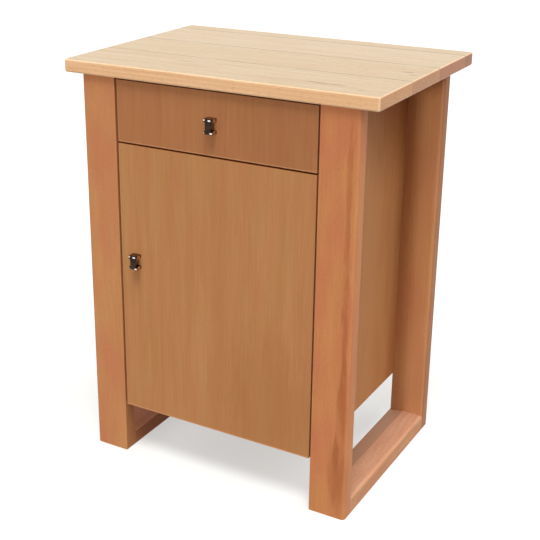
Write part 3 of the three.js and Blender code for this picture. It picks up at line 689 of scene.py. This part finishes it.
def dark_chrome(name: str, x: float, z: float) -> MetalFinish:
    """Gives the finish of one pull: chrome on a zinc casting, painted dark for the dim room that it mirrors.

    It is nearly black, as painted dark reflection, with painted highlights at the bow's shoulders, and
    painted reflections of the wood on top and on the right side.

    Args:
        name: The door or the drawer.
        x: Middle of the pull.
        z: Its height.

    Returns:
        The finish.
    """
    # Painted highlights at the bow's shoulders.
    spots = ((-8.6, 13.4, 2.8, "#FBE6D2", 0.95), (3.4, 12.9, 4.6, "#FBF4EE", 1.0),
             (7.6, -12.6, 4.6, "#FBF4EE", 1.0), (-8.8, -12.4, 1.8, "#D8B58C", 0.8))
    bright = tuple(Mark((x + dx * MM, -0.2515, z + dz * MM), (reach * MM, 0.005, 0.0021), colour, strength)
                   for dx, dz, reach, colour, strength in spots)
    # Painted reflections of the wood on the top and the right side.
    mirrored = (Mark((x, -0.2435, z + 16.5 * MM), (0.014, 0.012, 0.0016), "#8E6E5C", 0.8),
                Mark((x + 7.4 * MM, -0.2435, z), (0.0016, 0.012, 0.010), "#B89A88", 0.9),
                Mark((x + 10.4 * MM, -0.2425, z), (0.0022, 0.010, 0.026), "#E2CCBC", 0.95))
    return MetalFinish(
        f"dark polished chrome plate on the {name} pull", "#40342E", "#2C211C", roughness=0.1,
        spread=0.05, scratch_mm=1.2, bump=0.02, marks=mirrored + bright)


# Nickel plate on pressed steel: warm grey, softly bright.
NICKEL_STEEL = MetalFinish("nickel plated steel", "#BDB9B2", "#A9A59E", roughness=0.24, spread=0.12)
# Zinc plate on screws: slightly yellow and cloudy.
ZINC_STEEL = MetalFinish("zinc plated steel", "#CFC8B4", "#B3AD9C", roughness=0.32, spread=0.16,
                         scratch_mm=0.6, bump=0.08)
# Soft clear buffer: milky, with a dull shine.
CLEAR_RUBBER = PlainFinish("clear soft rubber", "#E4E2DA", "#D3D1C8", roughness=0.3, mottle_mm=1.5,
                           bump=0.05, transmission=0.35)


# Modelling


class Parts(Enum):
    """What is picked in edit mode."""

    EDGES = "EDGE"
    FACES = "FACE"


class Work(Enum):
    """What is done to a piece with another solid."""

    JOIN = "UNION"
    CUT = "DIFFERENCE"


def deselect() -> None:
    """Leaves nothing selected, in edit mode or out of it."""
    if bpy.context.object and bpy.context.object.mode == "EDIT":
        bpy.ops.object.mode_set(mode="OBJECT")
    bpy.ops.object.select_all(action="DESELECT")


def take(obj: Piece) -> None:
    """Makes obj the only selected and the active object."""
    deselect()
    obj.select_set(True)
    bpy.context.view_layer.objects.active = obj


def corners(node: str) -> tuple[Vector, Vector]:
    """Returns the lowest and the highest corner of a solid of the frame."""
    low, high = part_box(node)
    return Vector(low), Vector(high)


def block(name: str, low: Vector, high: Vector) -> Piece:
    """Adds a block as the start of a piece, with its place in its mesh.

    Args:
        name: The piece's name.
        low: Its lowest corner in metres.
        high: Its highest corner.

    Returns:
        The new object, active and selected.
    """
    deselect()
    bpy.ops.mesh.primitive_cube_add(size=1, location=(low + high) / 2, scale=high - low)
    obj = bpy.context.object
    obj.name = obj.data.name = name
    bpy.ops.object.transform_apply(location=True, rotation=True, scale=True)
    return obj


def select(obj: Piece, parts: Parts, test: PlaceTest) -> None:
    """Selects, in edit mode, the edges or the faces that pass the test.

    Args:
        obj: The piece.
        parts: Edges or faces.
        test: Says yes or no to an edge's two ends, or to a face's middle and normal.
    """
    take(obj)
    bpy.ops.object.mode_set(mode="EDIT")
    bpy.ops.mesh.select_all(action="DESELECT")
    bpy.ops.mesh.select_mode(type=parts.value)
    mesh = bmesh.from_edit_mesh(obj.data)
    if parts is Parts.EDGES:
        for edge in mesh.edges:
            edge.select_set(test(edge.verts[0].co, edge.verts[1].co))
    else:
        for face in mesh.faces:
            face.select_set(test(face.calc_center_median(), face.normal))
    mesh.select_flush_mode()
    bmesh.update_edit_mesh(obj.data)


def round_edges(obj: Piece, test: PlaceTest, radius_mm: float, steps: int) -> None:
    """Rounds the edges that pass the test.

    Args:
        obj: The piece.
        test: Says yes or no to an edge's two ends.
        radius_mm: Radius of the rounding.
        steps: Faces across it; one makes a chamfer.
    """
    select(obj, Parts.EDGES, test)
    bpy.ops.mesh.bevel(offset=radius_mm * MM, segments=steps, profile=0.5, affect="EDGES", clamp_overlap=True)
    bpy.ops.object.mode_set(mode="OBJECT")


def slice_off(obj: Piece, point: Vector, normal: Vector, keep_both: bool = False) -> None:
    """Cuts a piece with a plane and drops what lies on the normal's side.

    Args:
        obj: The piece.
        point: A point of the plane.
        normal: The plane's normal.
        keep_both: Only draws the cut, and drops nothing.
    """
    take(obj)
    bpy.ops.object.mode_set(mode="EDIT")
    bpy.ops.mesh.select_all(action="SELECT")
    bpy.ops.mesh.bisect(plane_co=point, plane_no=normal, use_fill=not keep_both, clear_outer=not keep_both)
    bpy.ops.object.mode_set(mode="OBJECT")


def combine(obj: Piece, other: Piece, work: Work) -> None:
    """Joins another solid to obj or cuts it away, and removes the other.

    Args:
        obj: The piece that stays.
        other: The solid that is used up.
        work: Which of the two is done.
    """
    take(obj)
    modifier = obj.modifiers.new("shape", "BOOLEAN")
    modifier.object = other
    modifier.operation = work.value
    modifier.solver = "EXACT"
    bpy.ops.object.modifier_apply(modifier=modifier.name)
    bpy.data.objects.remove(other, do_unlink=True)


def smooth(obj: Piece, degrees: float = 35.0) -> None:
    """Shades rounded parts smoothly and keeps flat faces flat.

    Args:
        obj: The piece.
        degrees: Steeper edges stay sharp.
    """
    take(obj)
    bpy.ops.object.shade_smooth_by_angle(angle=math.radians(degrees))
    modifier = obj.modifiers.new("flats", "WEIGHTED_NORMAL")
    modifier.keep_sharp = True
    bpy.ops.object.modifier_apply(modifier=modifier.name)


def twin(obj: Piece, name: str, move: Matrix) -> Piece:
    """Copies a finished piece with its own mesh, and moves the mesh.

    Args:
        obj: The piece that is copied.
        name: The copy's name.
        move: Where the mesh goes.

    Returns:
        The copy.
    """
    copy = obj.copy()
    copy.data = obj.data.copy()
    copy.name = copy.data.name = name
    bpy.context.collection.objects.link(copy)
    copy.data.transform(move)
    return copy


def dress(obj: Piece, finish: bpy.types.Material) -> None:
    """Gives a piece its one material."""
    obj.data.materials.clear()
    obj.data.materials.append(finish)


def settle(obj: Piece, body: str, slot: str, *nodes: str) -> None:
    """Ties a new piece to its body, and hides the solids that it stands for.

    Args:
        obj: The piece.
        body: The body that it moves with.
        slot: Not used.
        *nodes: The solids that it replaces.
    """
    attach(obj, body)
    if nodes:
        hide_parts(*nodes)
    log.info("piece %s on %s", obj.name, body)


def near(value: float, target: float, slack: float = 2e-5) -> bool:
    """Says whether two places agree within a few hundredths of a millimetre."""
    return abs(value - target) < slack


# Sub-assemblies


@dataclass
class Worktop:
    """Four beech boards glued edge to edge, with the outer arrises rounded over."""

    edge_radius_mm: float = 4.0
    corner_radius_mm: float = 5.0
    outer_steps: int = 6
    groove_mm: float = 1.2
    groove_steps: int = 2
    boards: tuple[str, ...] = ("front", "mid_front", "mid_rear", "rear")

    def build(self) -> None:
        """Builds the boards from front to rear."""
        last = len(self.boards) - 1
        for index, place in enumerate(self.boards):
            node = f"worktop_board_{place}"
            low, high = corners(node)
            board = block(f"{node}_wood", low, high)
            self.shape(board, low, high, index == 0, index == last)
            smooth(board)
            dress(board, WORKTOP_BEECH[index].material())
            settle(board, "cabinet", "worktop_beech", node)

    def shape(self, board: Piece, low: Vector, high: Vector, is_front: bool, is_rear: bool) -> None:
        """Rounds the outer corners and arrises and eases the edges at the glue lines.

        Args:
            board: The block of one board.
            low: Its lowest corner.
            high: Its highest corner.
            is_front: Whether its front edge is the worktop's.
            is_rear: Whether its rear edge is the worktop's.
        """
        outer = [y for y, shows in ((low.y, is_front), (high.y, is_rear)) if shows]
        inner = [y for y, shows in ((low.y, is_front), (high.y, is_rear)) if not shows]
        if outer:
            round_edges(board, lambda a, b: near(a.x, b.x) and near(a.y, b.y) and near(a.y, outer[0]),
                        self.corner_radius_mm, self.outer_steps)
        round_edges(board, lambda a, b: near(a.z, b.z) and not any(
            near(a.y, y) and near(b.y, y) for y in inner), self.edge_radius_mm, self.outer_steps)
        round_edges(board, lambda a, b: near(a.z, high.z) and near(b.z, high.z) and any(
            near(a.y, y) and near(b.y, y) for y in inner), self.groove_mm, self.groove_steps)


class Side(Enum):
    """One of the two frames, with the way along X that leads away from the box."""

    LEFT = -1.0
    RIGHT = 1.0


@dataclass
class SledFrame:
    """Two wide posts and a floor rail, with the faces inside the loop bevelled."""

    side: Side
    finishes: dict[str, WoodFinish]
    rail_height_mm: float = 36.0
    bevel_width_mm: float = 35.0
    bevel_drop_mm: float = 4.0
    outer_radius_mm: float = 8.0
    outer_steps: int = 10
    inner_radius_mm: float = 2.0
    inner_steps: int = 4
    above_floor_mm: float = 10.0

    def build(self) -> None:
        """Builds both posts and the floor rail."""
        side = self.side.name.lower()
        for place in ("front", "rear", "runner"):
            node = f"{side}_{place}" if place == "runner" else f"{side}_{place}_leg"
            member = self.rail(node) if place == "runner" else self.post(node, place == "front")
            smooth(member)
            dress(member, self.finishes[place].material())
            settle(member, "cabinet", "leg_beech", node)

    def edges_in_x(self, low: Vector, high: Vector) -> tuple[float, float]:
        """Returns the inner and outer X of a member of this frame."""
        return (low.x, high.x) if self.side is Side.RIGHT else (high.x, low.x)

    def shape_rail(self, obj: Piece, inner: float, outer: float) -> None:
        """Rounds a floor rail's outer top arris and slopes its top towards the box.

        Args:
            obj: The rail, or the foot that continues it.
            inner: X of the frame's inner face.
            outer: X of its outer face.
        """
        round_edges(obj, lambda a, b: near(a.x, outer) and near(b.x, outer) and near(a.z, b.z)
                    and a.z > self.above_floor_mm * MM, self.outer_radius_mm, self.outer_steps)
        drop, width = self.bevel_drop_mm * MM, self.bevel_width_mm * MM
        slice_off(obj, Vector((inner, 0, self.rail_height_mm * MM - drop)),
                  Vector((-self.side.value * drop, 0, width)))

    def post(self, node: str, is_front: bool) -> Piece:
        """Models one post with its foot.

        Args:
            node: The solid that it stands for.
            is_front: Whether it is the front post.

        Returns:
            The post.
        """
        low, high = corners(node)
        inner, outer = self.edges_in_x(low, high)
        face, loop = (low.y, high.y) if is_front else (high.y, low.y)
        towards_loop = 1.0 if is_front else -1.0
        post = block(f"{node}_wood", low, high)
        round_edges(post, lambda a, b: near(a.x, b.x) and near(a.x, outer) and near(a.y, b.y),
                    self.outer_radius_mm, self.outer_steps)
        round_edges(post, lambda a, b: near(a.x, inner) and near(b.x, inner) and near(a.y, face)
                    and near(b.y, face), self.inner_radius_mm, self.inner_steps)
        drop, width = self.bevel_drop_mm * MM, self.bevel_width_mm * MM
        slice_off(post, Vector((inner, loop - towards_loop * drop, 0)),
                  Vector((-self.side.value * drop, towards_loop * width, 0)))
        middle = (low.y + high.y) / 2
        foot = block("foot", Vector((low.x, min(middle, loop), low.z)),
                     Vector((high.x, max(middle, loop), self.rail_height_mm * MM)))
        self.shape_rail(foot, inner, outer)
        combine(post, foot, Work.JOIN)
        return post

    def rail(self, node: str) -> Piece:
        """Models the floor rail between the two feet.

        Args:
            node: The solid that it stands for.

        Returns:
            The rail.
        """
        low, high = corners(node)
        rail = block(f"{node}_wood", low, high)
        self.shape_rail(rail, *self.edges_in_x(low, high))
        return rail


@dataclass
class KeptSolids:
    """A sub-assembly whose solids keep their shape and only get their finish."""

    dressing: tuple[tuple[Finish, tuple[str, ...]], ...] = ()

    def build(self) -> None:
        """Dresses each of the solids."""
        for finish, names in self.dressing:
            for name in names:
                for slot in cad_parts[name].material_slots:
                    slot.material = finish.material()
                log.info("dressed %s: %s", name, finish.name)


@dataclass
class Carcass(KeptSolids):
    """The box between the frames: boards, rails, back, shelf and their fittings."""

    dressing: tuple[tuple[Finish, tuple[str, ...]], ...] = (
        (CARCASS_VENEER, ("carcass_side_left", "carcass_side_right")),
        (SHELF_VENEER, ("carcass_bottom", "carcass_divider", "top_rail_front", "top_rail_rear", "shelf")),
        (PLAIN_BOARD, ("back_panel",)),
        (DRAWER_BEECH, ("left_front_tenon", "left_rear_tenon", "right_front_tenon", "right_rear_tenon",
                        "drawer_runner_left", "drawer_runner_right")),
        (NICKEL_STEEL, ("shelf_pin_left_front", "shelf_pin_left_rear", "shelf_pin_right_front",
                        "shelf_pin_right_rear")),
        (CLEAR_RUBBER, ("door_buffer",)))


@dataclass
class Fronts(KeptSolids):
    """The door panel and the drawer's front, veneered with upright grain."""

    dressing: tuple[tuple[Finish, tuple[str, ...]], ...] = (
        (DOOR_VENEER, ("door_panel",)), (DRAWER_VENEER, ("drawer_front",)))


@dataclass
class DrawerBox(KeptSolids):
    """The drawer behind its front: four boards, grain along each, and a thin bottom."""

    dressing: tuple[tuple[Finish, tuple[str, ...]], ...] = (
        (DRAWER_BEECH, ("drawer_side_left", "drawer_side_right")),
        (CROSS_BEECH, ("drawer_box_front", "drawer_back")), (PLAIN_BOARD, ("drawer_bottom",)))


@dataclass
class CupHinges(KeptSolids):
    """Two concealed hinges: pressed cups in the door, and arms on the box."""

    dressing: tuple[tuple[Finish, tuple[str, ...]], ...] = ((NICKEL_STEEL, (
        "hinge_cup_lower", "hinge_pin_lower", "hinge_arm_lower",
        "hinge_cup_upper", "hinge_pin_upper", "hinge_arm_upper")),)


@dataclass
class BowPull:
    """An upright bow of flat bar with two feet, cast in one piece and plated."""

    foot_mm: float = 7.0
    waist_mm: float = 13.0
    bar_mm: float = 4.0
    outer_radius_mm: float = 5.0
    outer_steps: int = 8
    inner_radius_mm: float = 3.0
    inner_steps: int = 6
    arris_mm: float = 0.7
    arris_steps: int = 3
    sharp_degrees: float = 40.0

    def build(self) -> None:
        """Models the drawer's pull and copies it for the door."""
        first = self.model("drawer_pull")
        shift = corners("door_pull")[0] - corners("drawer_pull")[0]
        second = twin(first, "door_pull_metal", Matrix.Translation(shift))
        for obj, body in ((first, "drawer"), (second, "door")):
            low, high = corners(f"{body}_pull")
            dress(obj, dark_chrome(body, (low.x + high.x) / 2, (low.z + high.z) / 2).material())
            settle(obj, body, "chrome", f"{body}_pull")

    def model(self, node: str) -> Piece:
        """Models a pull where a solid of the frame stands.

        Args:
            node: The solid that it stands for.

        Returns:
            The pull.
        """
        low, high = corners(node)
        bar_back = low.y + self.bar_mm * MM
        middle_x = (low.x + high.x) / 2
        waist = (middle_x - self.waist_mm * MM / 2, middle_x + self.waist_mm * MM / 2)
        inner = (low.z + self.foot_mm * MM, high.z - self.foot_mm * MM)
        pull = block(f"{node}_metal", Vector((waist[0], low.y, low.z)), Vector((waist[1], bar_back, high.z)))
        for z in inner:
            slice_off(pull, Vector((0, 0, z)), Vector((0, 0, 1)), keep_both=True)
        ways = ((Vector((0, 1, 0)), high.y - bar_back), (Vector((1, 0, 0)), high.x - waist[1]),
                (Vector((-1, 0, 0)), high.x - waist[1]))
        for is_foot in (lambda z: z < inner[0], lambda z: z > inner[1]):
            for way, reach in ways:
                select(pull, Parts.FACES, lambda middle, normal: normal.dot(way) > 0.9 and is_foot(middle.z))
                bpy.ops.mesh.extrude_region_move(TRANSFORM_OT_translate={"value": way * reach})
                bpy.ops.object.mode_set(mode="OBJECT")
        round_edges(pull, lambda a, b: near(a.y, low.y) and near(b.y, low.y) and near(a.z, b.z)
                    and (near(a.z, low.z) or near(a.z, high.z)), self.outer_radius_mm, self.outer_steps)
        round_edges(pull, lambda a, b: near(a.y, bar_back) and near(b.y, bar_back) and near(a.z, b.z)
                    and any(near(a.z, z) for z in inner) and waist[0] - MM < min(a.x, b.x)
                    and max(a.x, b.x) < waist[1] + MM, self.inner_radius_mm, self.inner_steps)
        round_edges(pull, lambda a, b: near(a.x, b.x) and any(near(a.x, x) for x in (low.x, high.x) + waist)
                    and min(a.y, b.y) < high.y - 1e-5, self.arris_mm, self.arris_steps)
        smooth(pull, self.sharp_degrees)
        return pull


class Drive(Enum):
    """The way that a screw points, from its head to its tip."""

    LEFT = (-1.0, 0.0, 0.0)
    RIGHT = (1.0, 0.0, 0.0)
    FORWARD = (0.0, -1.0, 0.0)
    UP = (0.0, 0.0, 1.0)


@dataclass
class CrossScrew:
    """A plated screw with a cross recess: countersunk, or with a low pan head.

    The sizes of the recess, the pan's rounding and the tip are shares of the head or shank.
    """

    name: str
    shank_mm: float
    head_mm: float
    head_height_mm: float
    length_mm: float
    tip_mm: float
    pan: bool = False
    sides: int = 24
    recess: Triple = (0.55, 0.11, 0.6)
    pan_rounding: float = 0.55
    pan_steps: int = 4
    blunt_tip: float = 0.45
    sharp_tip: float = 0.08
    sharp_degrees: float = 40.0

    def model(self) -> Piece:
        """Models the screw pointing up, with the underside of a pan head, or the face of
        a countersunk one, at the origin.

        Returns:
            The screw.
        """
        deselect()
        top = self.head_height_mm * MM
        bpy.ops.mesh.primitive_cylinder_add(vertices=self.sides, radius=self.head_mm * MM, depth=top,
                                            location=(0, 0, top / 2))
        screw = bpy.context.object
        screw.name = screw.data.name = self.name
        bpy.ops.object.transform_apply(location=True, rotation=True, scale=True)
        select(screw, Parts.FACES, lambda middle, normal: normal.z > 0.9)
        ratio = self.shank_mm / self.head_mm
        if self.pan:
            bpy.ops.mesh.inset(thickness=(self.head_mm - self.shank_mm) * MM)
        else:
            bpy.ops.transform.resize(value=(ratio, ratio, 1))
        straight = self.length_mm - self.tip_mm - (0 if self.pan else self.head_height_mm)
        for length_mm in (straight, self.tip_mm):
            bpy.ops.mesh.extrude_region_move(TRANSFORM_OT_translate={"value": (0, 0, length_mm * MM)})
        tip = self.blunt_tip if self.pan else self.sharp_tip
        bpy.ops.transform.resize(value=(tip, tip, 1))
        bpy.ops.object.mode_set(mode="OBJECT")
        if self.pan:
            round_edges(screw, lambda a, b: near(a.z, 0) and near(b.z, 0),
                        self.head_height_mm * self.pan_rounding, self.pan_steps)
            screw.data.transform(Matrix.Translation((0, 0, -top)))
        self.cut_recess(screw)
        smooth(screw, self.sharp_degrees)
        return screw

    def cut_recess(self, screw: Piece) -> None:
        """Cuts two crossing slots into the head.

        Args:
            screw: The screw, pointing up.
        """
        face = -self.head_height_mm * MM if self.pan else 0.0
        half, thick = (self.head_mm * share * MM for share in self.recess[:2])
        deep = self.head_height_mm * self.recess[2] * MM
        for x, y in ((half, thick), (thick, half)):
            slot = block("recess", Vector((-x, -y, face - MM)), Vector((x, y, face + deep)))
            combine(screw, slot, Work.CUT)

    def place(self, pattern: Piece, node: str, body: str, way: Drive) -> None:
        """Copies the modelled screw to where a solid of the frame stands.

        Args:
            pattern: The screw at the origin, pointing up.
            node: The solid that the copy stands for.
            body: The body that it moves with.
            way: Where it points.
        """
        low, high = corners(node)
        length = (high - low)[max(range(3), key=lambda i: abs(way.value[i]))]
        start = (low + high) / 2 - Vector(way.value) * length / 2
        if self.pan:
            start += Vector(way.value) * self.head_height_mm * MM
        self.put(pattern, f"{node}_metal", start, body, way, node)

    def put(self, pattern: Piece, name: str, start: Vector, body: str, way: Drive, *nodes: str) -> None:
        """Copies the modelled screw to a point.

        Args:
            pattern: The screw at the origin, pointing up.
            name: The copy's name.
            start: Where the pattern's origin goes.
            body: The body that it moves with.
            way: Where it points.
            *nodes: The solids that it stands for.
        """
        turn = Vector((0, 0, 1)).rotation_difference(Vector(way.value)).to_matrix().to_4x4()
        copy = twin(pattern, name, Matrix.Translation(start) @ turn)
        dress(copy, ZINC_STEEL.material())
        settle(copy, body, "zinc_steel", *nodes)


@dataclass
class Fastenings:
    """All screws of the sideboard."""

    frame_screw: CrossScrew = field(
        default_factory=lambda: CrossScrew(
            "frame_screw", shank_mm=2.0, head_mm=4.0, head_height_mm=2.3, length_mm=50.0, tip_mm=5.0))
    top_screw: CrossScrew = field(
        default_factory=lambda: CrossScrew(
            "top_screw", shank_mm=2.25, head_mm=4.2, head_height_mm=2.4, length_mm=35.0, tip_mm=5.0))
    hinge_screw: CrossScrew = field(
        default_factory=lambda: CrossScrew(
            "hinge_screw", shank_mm=1.75, head_mm=3.1, head_height_mm=1.3, length_mm=12.0, tip_mm=2.0,
            pan=True))
    pull_head_mm: float = 2.5
    flange_screw_mm: float = 23.0
    plate_screw_mm: float = 16.5
    plate_thickness_mm: float = 2.0
    plate_middle_mm: float = 20.0

    def build(self) -> None:
        """Models one screw of each kind and copies it to its places."""
        spots = ("front_lower", "front_upper", "rear_lower", "rear_upper")
        self.fix(self.frame_screw, "cabinet", {
            f"{side}_leg_screw_{spot}": way for side, way in (("left", Drive.LEFT), ("right", Drive.RIGHT))
            for spot in spots})
        self.fix(self.top_screw, "cabinet", {
            f"worktop_screw_{spot}": Drive.UP for spot in ("front_left", "front_right", "rear_left",
                                                           "rear_right")})
        for body in ("drawer", "door"):
            low, high = corners(f"{body}_pull_screw_lower")
            length = (high.y - low.y) / MM - self.pull_head_mm
            kind = CrossScrew(f"{body}_pull_screw", shank_mm=2.0, head_mm=4.0,
                              head_height_mm=self.pull_head_mm, length_mm=length, tip_mm=1.0, pan=True)
            self.fix(kind, body, {f"{body}_pull_screw_{spot}": Drive.FORWARD for spot in ("lower", "upper")})
        self.fix_hinges()

    def fix(self, kind: CrossScrew, body: str, places: dict[str, Drive]) -> None:
        """Models one kind of screw and copies it to the solids that it stands for.

        Args:
            kind: The screw.
            body: The body that the copies move with.
            places: The solids, and where the screw points at each.
        """
        pattern = kind.model()
        for node, way in places.items():
            kind.place(pattern, node, body, way)
        bpy.data.objects.remove(pattern, do_unlink=True)

    def fix_hinges(self) -> None:
        """Puts two screws in each hinge's cup flange and two in its plate."""
        pattern = self.hinge_screw.model()
        for hinge in ("lower", "upper"):
            cup_low, cup_high = corners(f"hinge_cup_{hinge}")
            arm_high = corners(f"hinge_arm_{hinge}")[1]
            middle = (cup_low.z + cup_high.z) / 2
            flange_x = (cup_low.x + cup_high.x) / 2
            plate_x = arm_high.x - self.plate_thickness_mm * MM
            plate_y = arm_high.y - self.plate_middle_mm * MM
            for spot, sign in (("below", -1), ("above", 1)):
                for part, x, y, rise_mm, body, way in (
                        ("cup", flange_x, cup_high.y, self.flange_screw_mm, "door", Drive.FORWARD),
                        ("arm", plate_x, plate_y, self.plate_screw_mm, "cabinet", Drive.RIGHT)):
                    self.hinge_screw.put(pattern, f"hinge_{part}_screw_{hinge}_{spot}",
                                         Vector((x, y, middle + sign * rise_mm * MM)), body, way)
        bpy.data.objects.remove(pattern, do_unlink=True)


@dataclass(frozen=True)
class Lamp:
    """One even light from far away: where from, how strong, and how wide it looks."""

    name: str
    direction: Triple
    strength: float
    degrees: float


@dataclass
class Studio:
    """A pale floor, soft light and the camera."""

    camera_place: Triple = (1.0993, -2.0340, 1.3417)
    azimuth: float = 31.23
    elevation: float = 20.46
    roll: float = -0.22
    lens_mm: float = 73.6
    sensor_mm: float = 36.0
    shift: tuple[float, float] = (0.10, -0.05)
    view_end: float = 100.0
    horizon: float = 0.28
    zenith: float = 0.16
    floor_glow: float = 0.5
    lamps: tuple[Lamp, ...] = (
        Lamp("side_softbox", (0.70, 0.38, 0.60), 1.2, 60.0),
        Lamp("corner_softbox", (0.66, -0.36, 0.66), 0.45, 50.0),
        Lamp("top_softbox", (0.12, -0.34, 0.93), 2.5, 24.0),
        Lamp("front_lamp", (0.118, -0.985, 0.12), 0.95, 6.0),
        Lamp("left_softbox", (-0.77, 0.32, 0.55), 0.5, 40.0),
    )
    floor_size: float = 30.0
    floor_drop: float = 0.0005

    def build(self) -> None:
        """Sets up all of it."""
        self.add_camera()
        self.add_floor()
        self.add_lights()
        bpy.context.scene.view_settings.view_transform = "Standard"

    def add_camera(self) -> None:
        """Places the camera where the picture was taken from."""
        az, el, roll = (math.radians(v) for v in (self.azimuth, self.elevation, self.roll))
        ahead = Vector((-math.sin(az) * math.cos(el), math.cos(az) * math.cos(el), -math.sin(el)))
        right = Vector((math.cos(az), math.sin(az), 0))
        up = right.cross(ahead)
        right, up = (math.cos(roll) * right + math.sin(roll) * up,
                     -math.sin(roll) * right + math.cos(roll) * up)
        data = bpy.data.cameras.new("camera")
        data.lens, data.sensor_width = self.lens_mm, self.sensor_mm
        data.shift_x, data.shift_y = self.shift
        data.clip_end = self.view_end
        camera = bpy.data.objects.new("camera", data)
        bpy.context.collection.objects.link(camera)
        turn = Matrix((right, up, -ahead)).transposed().to_4x4()
        camera.matrix_world = Matrix.Translation(self.camera_place) @ turn
        bpy.context.scene.camera = camera

    def add_floor(self) -> None:
        """Lays a plain pale floor."""
        deselect()
        bpy.ops.mesh.primitive_plane_add(size=self.floor_size, location=(0, 0, -self.floor_drop))
        floor = bpy.context.object
        floor.name = "studio_floor"
        bpy.ops.object.transform_apply(location=True, rotation=True, scale=True)
        material, tree, shader = new_material("matt pale studio floor")
        seen = self.seen_directly(tree)
        tone = add_node(tree, "Mix", {0: seen, 6: linear("#96897F"), 7: linear("#B9B9B7")}, data_type="RGBA")
        glow = add_node(tree, "Math", {0: seen, 1: self.floor_glow}, operation="MULTIPLY")
        tree.links.new(tone.outputs[2], shader.inputs["Base Color"])
        tree.links.new(glow.outputs[0], shader.inputs["Emission Strength"])
        shader.inputs["Emission Color"].default_value = linear("#FFFFFD")
        shader.inputs["Roughness"].default_value = 0.9
        shader.inputs["Specular IOR Level"].default_value = 0.0
        dress(floor, material)

    def seen_directly(self, tree: Tree) -> Socket:
        """Tells rays of the camera, of reflections and through glass from lighting rays.

        Args:
            tree: The floor's or the world's nodes.

        Returns:
            One where the surface is seen, and nought where it only lights.
        """
        path = add_node(tree, "LightPath")
        seen = path.outputs["Is Camera Ray"]
        for kind in ("Is Glossy Ray", "Is Transmission Ray"):
            seen = add_node(tree, "Math", {0: seen, 1: path.outputs[kind]}, operation="MAXIMUM").outputs[0]
        return seen

    def add_lights(self) -> None:
        """Lights the room with a sky that is brighter at the horizon, and with soft lamps."""
        world = bpy.data.worlds.new("studio")
        bpy.context.scene.world = world
        world.use_nodes = True
        tree = world.node_tree
        tree.nodes.clear()
        split = add_node(tree, "SeparateXYZ", {0: add_node(tree, "TexCoord").outputs["Generated"]})
        sky = add_node(tree, "MapRange", {
            0: split.outputs[2], 1: 0.0, 2: 1.0, 3: self.horizon, 4: self.zenith})
        level = add_node(tree, "Mix", {0: self.seen_directly(tree), 2: sky.outputs[0], 3: 1.0},
                         data_type="FLOAT")
        ground = add_node(tree, "Background", {"Color": (1, 1, 1, 1), "Strength": level.outputs[0]})
        add_node(tree, "OutputWorld", {"Surface": ground.outputs[0]})
        for lamp in self.lamps:
            data = bpy.data.lights.new(lamp.name, "SUN")
            data.energy = lamp.strength
            data.angle = math.radians(lamp.degrees)
            obj = bpy.data.objects.new(lamp.name, data)
            bpy.context.collection.objects.link(obj)
            obj.rotation_euler = Vector((0, 0, 1)).rotation_difference(Vector(lamp.direction)).to_euler()


def main() -> None:
    """Builds the sideboard and the studio."""
    posts = {"front": LEG_BEECH, "rear": REAR_LEG_BEECH, "runner": RUNNER_BEECH}
    assemblies = (
        Studio(),
        Worktop(),
        SledFrame(Side.LEFT, {**posts, "runner": RED_RUNNER_BEECH}),
        SledFrame(Side.RIGHT, {**posts, "front": STREAKED_LEG_BEECH}),
        Carcass(),
        Fronts(),
        DrawerBox(),
        BowPull(),
        CupHinges(),
        Fastenings(),
    )
    for assembly in assemblies:
        log.info("building %s", type(assembly).__name__)
        assembly.build()


if __name__ == "__main__":
    main()
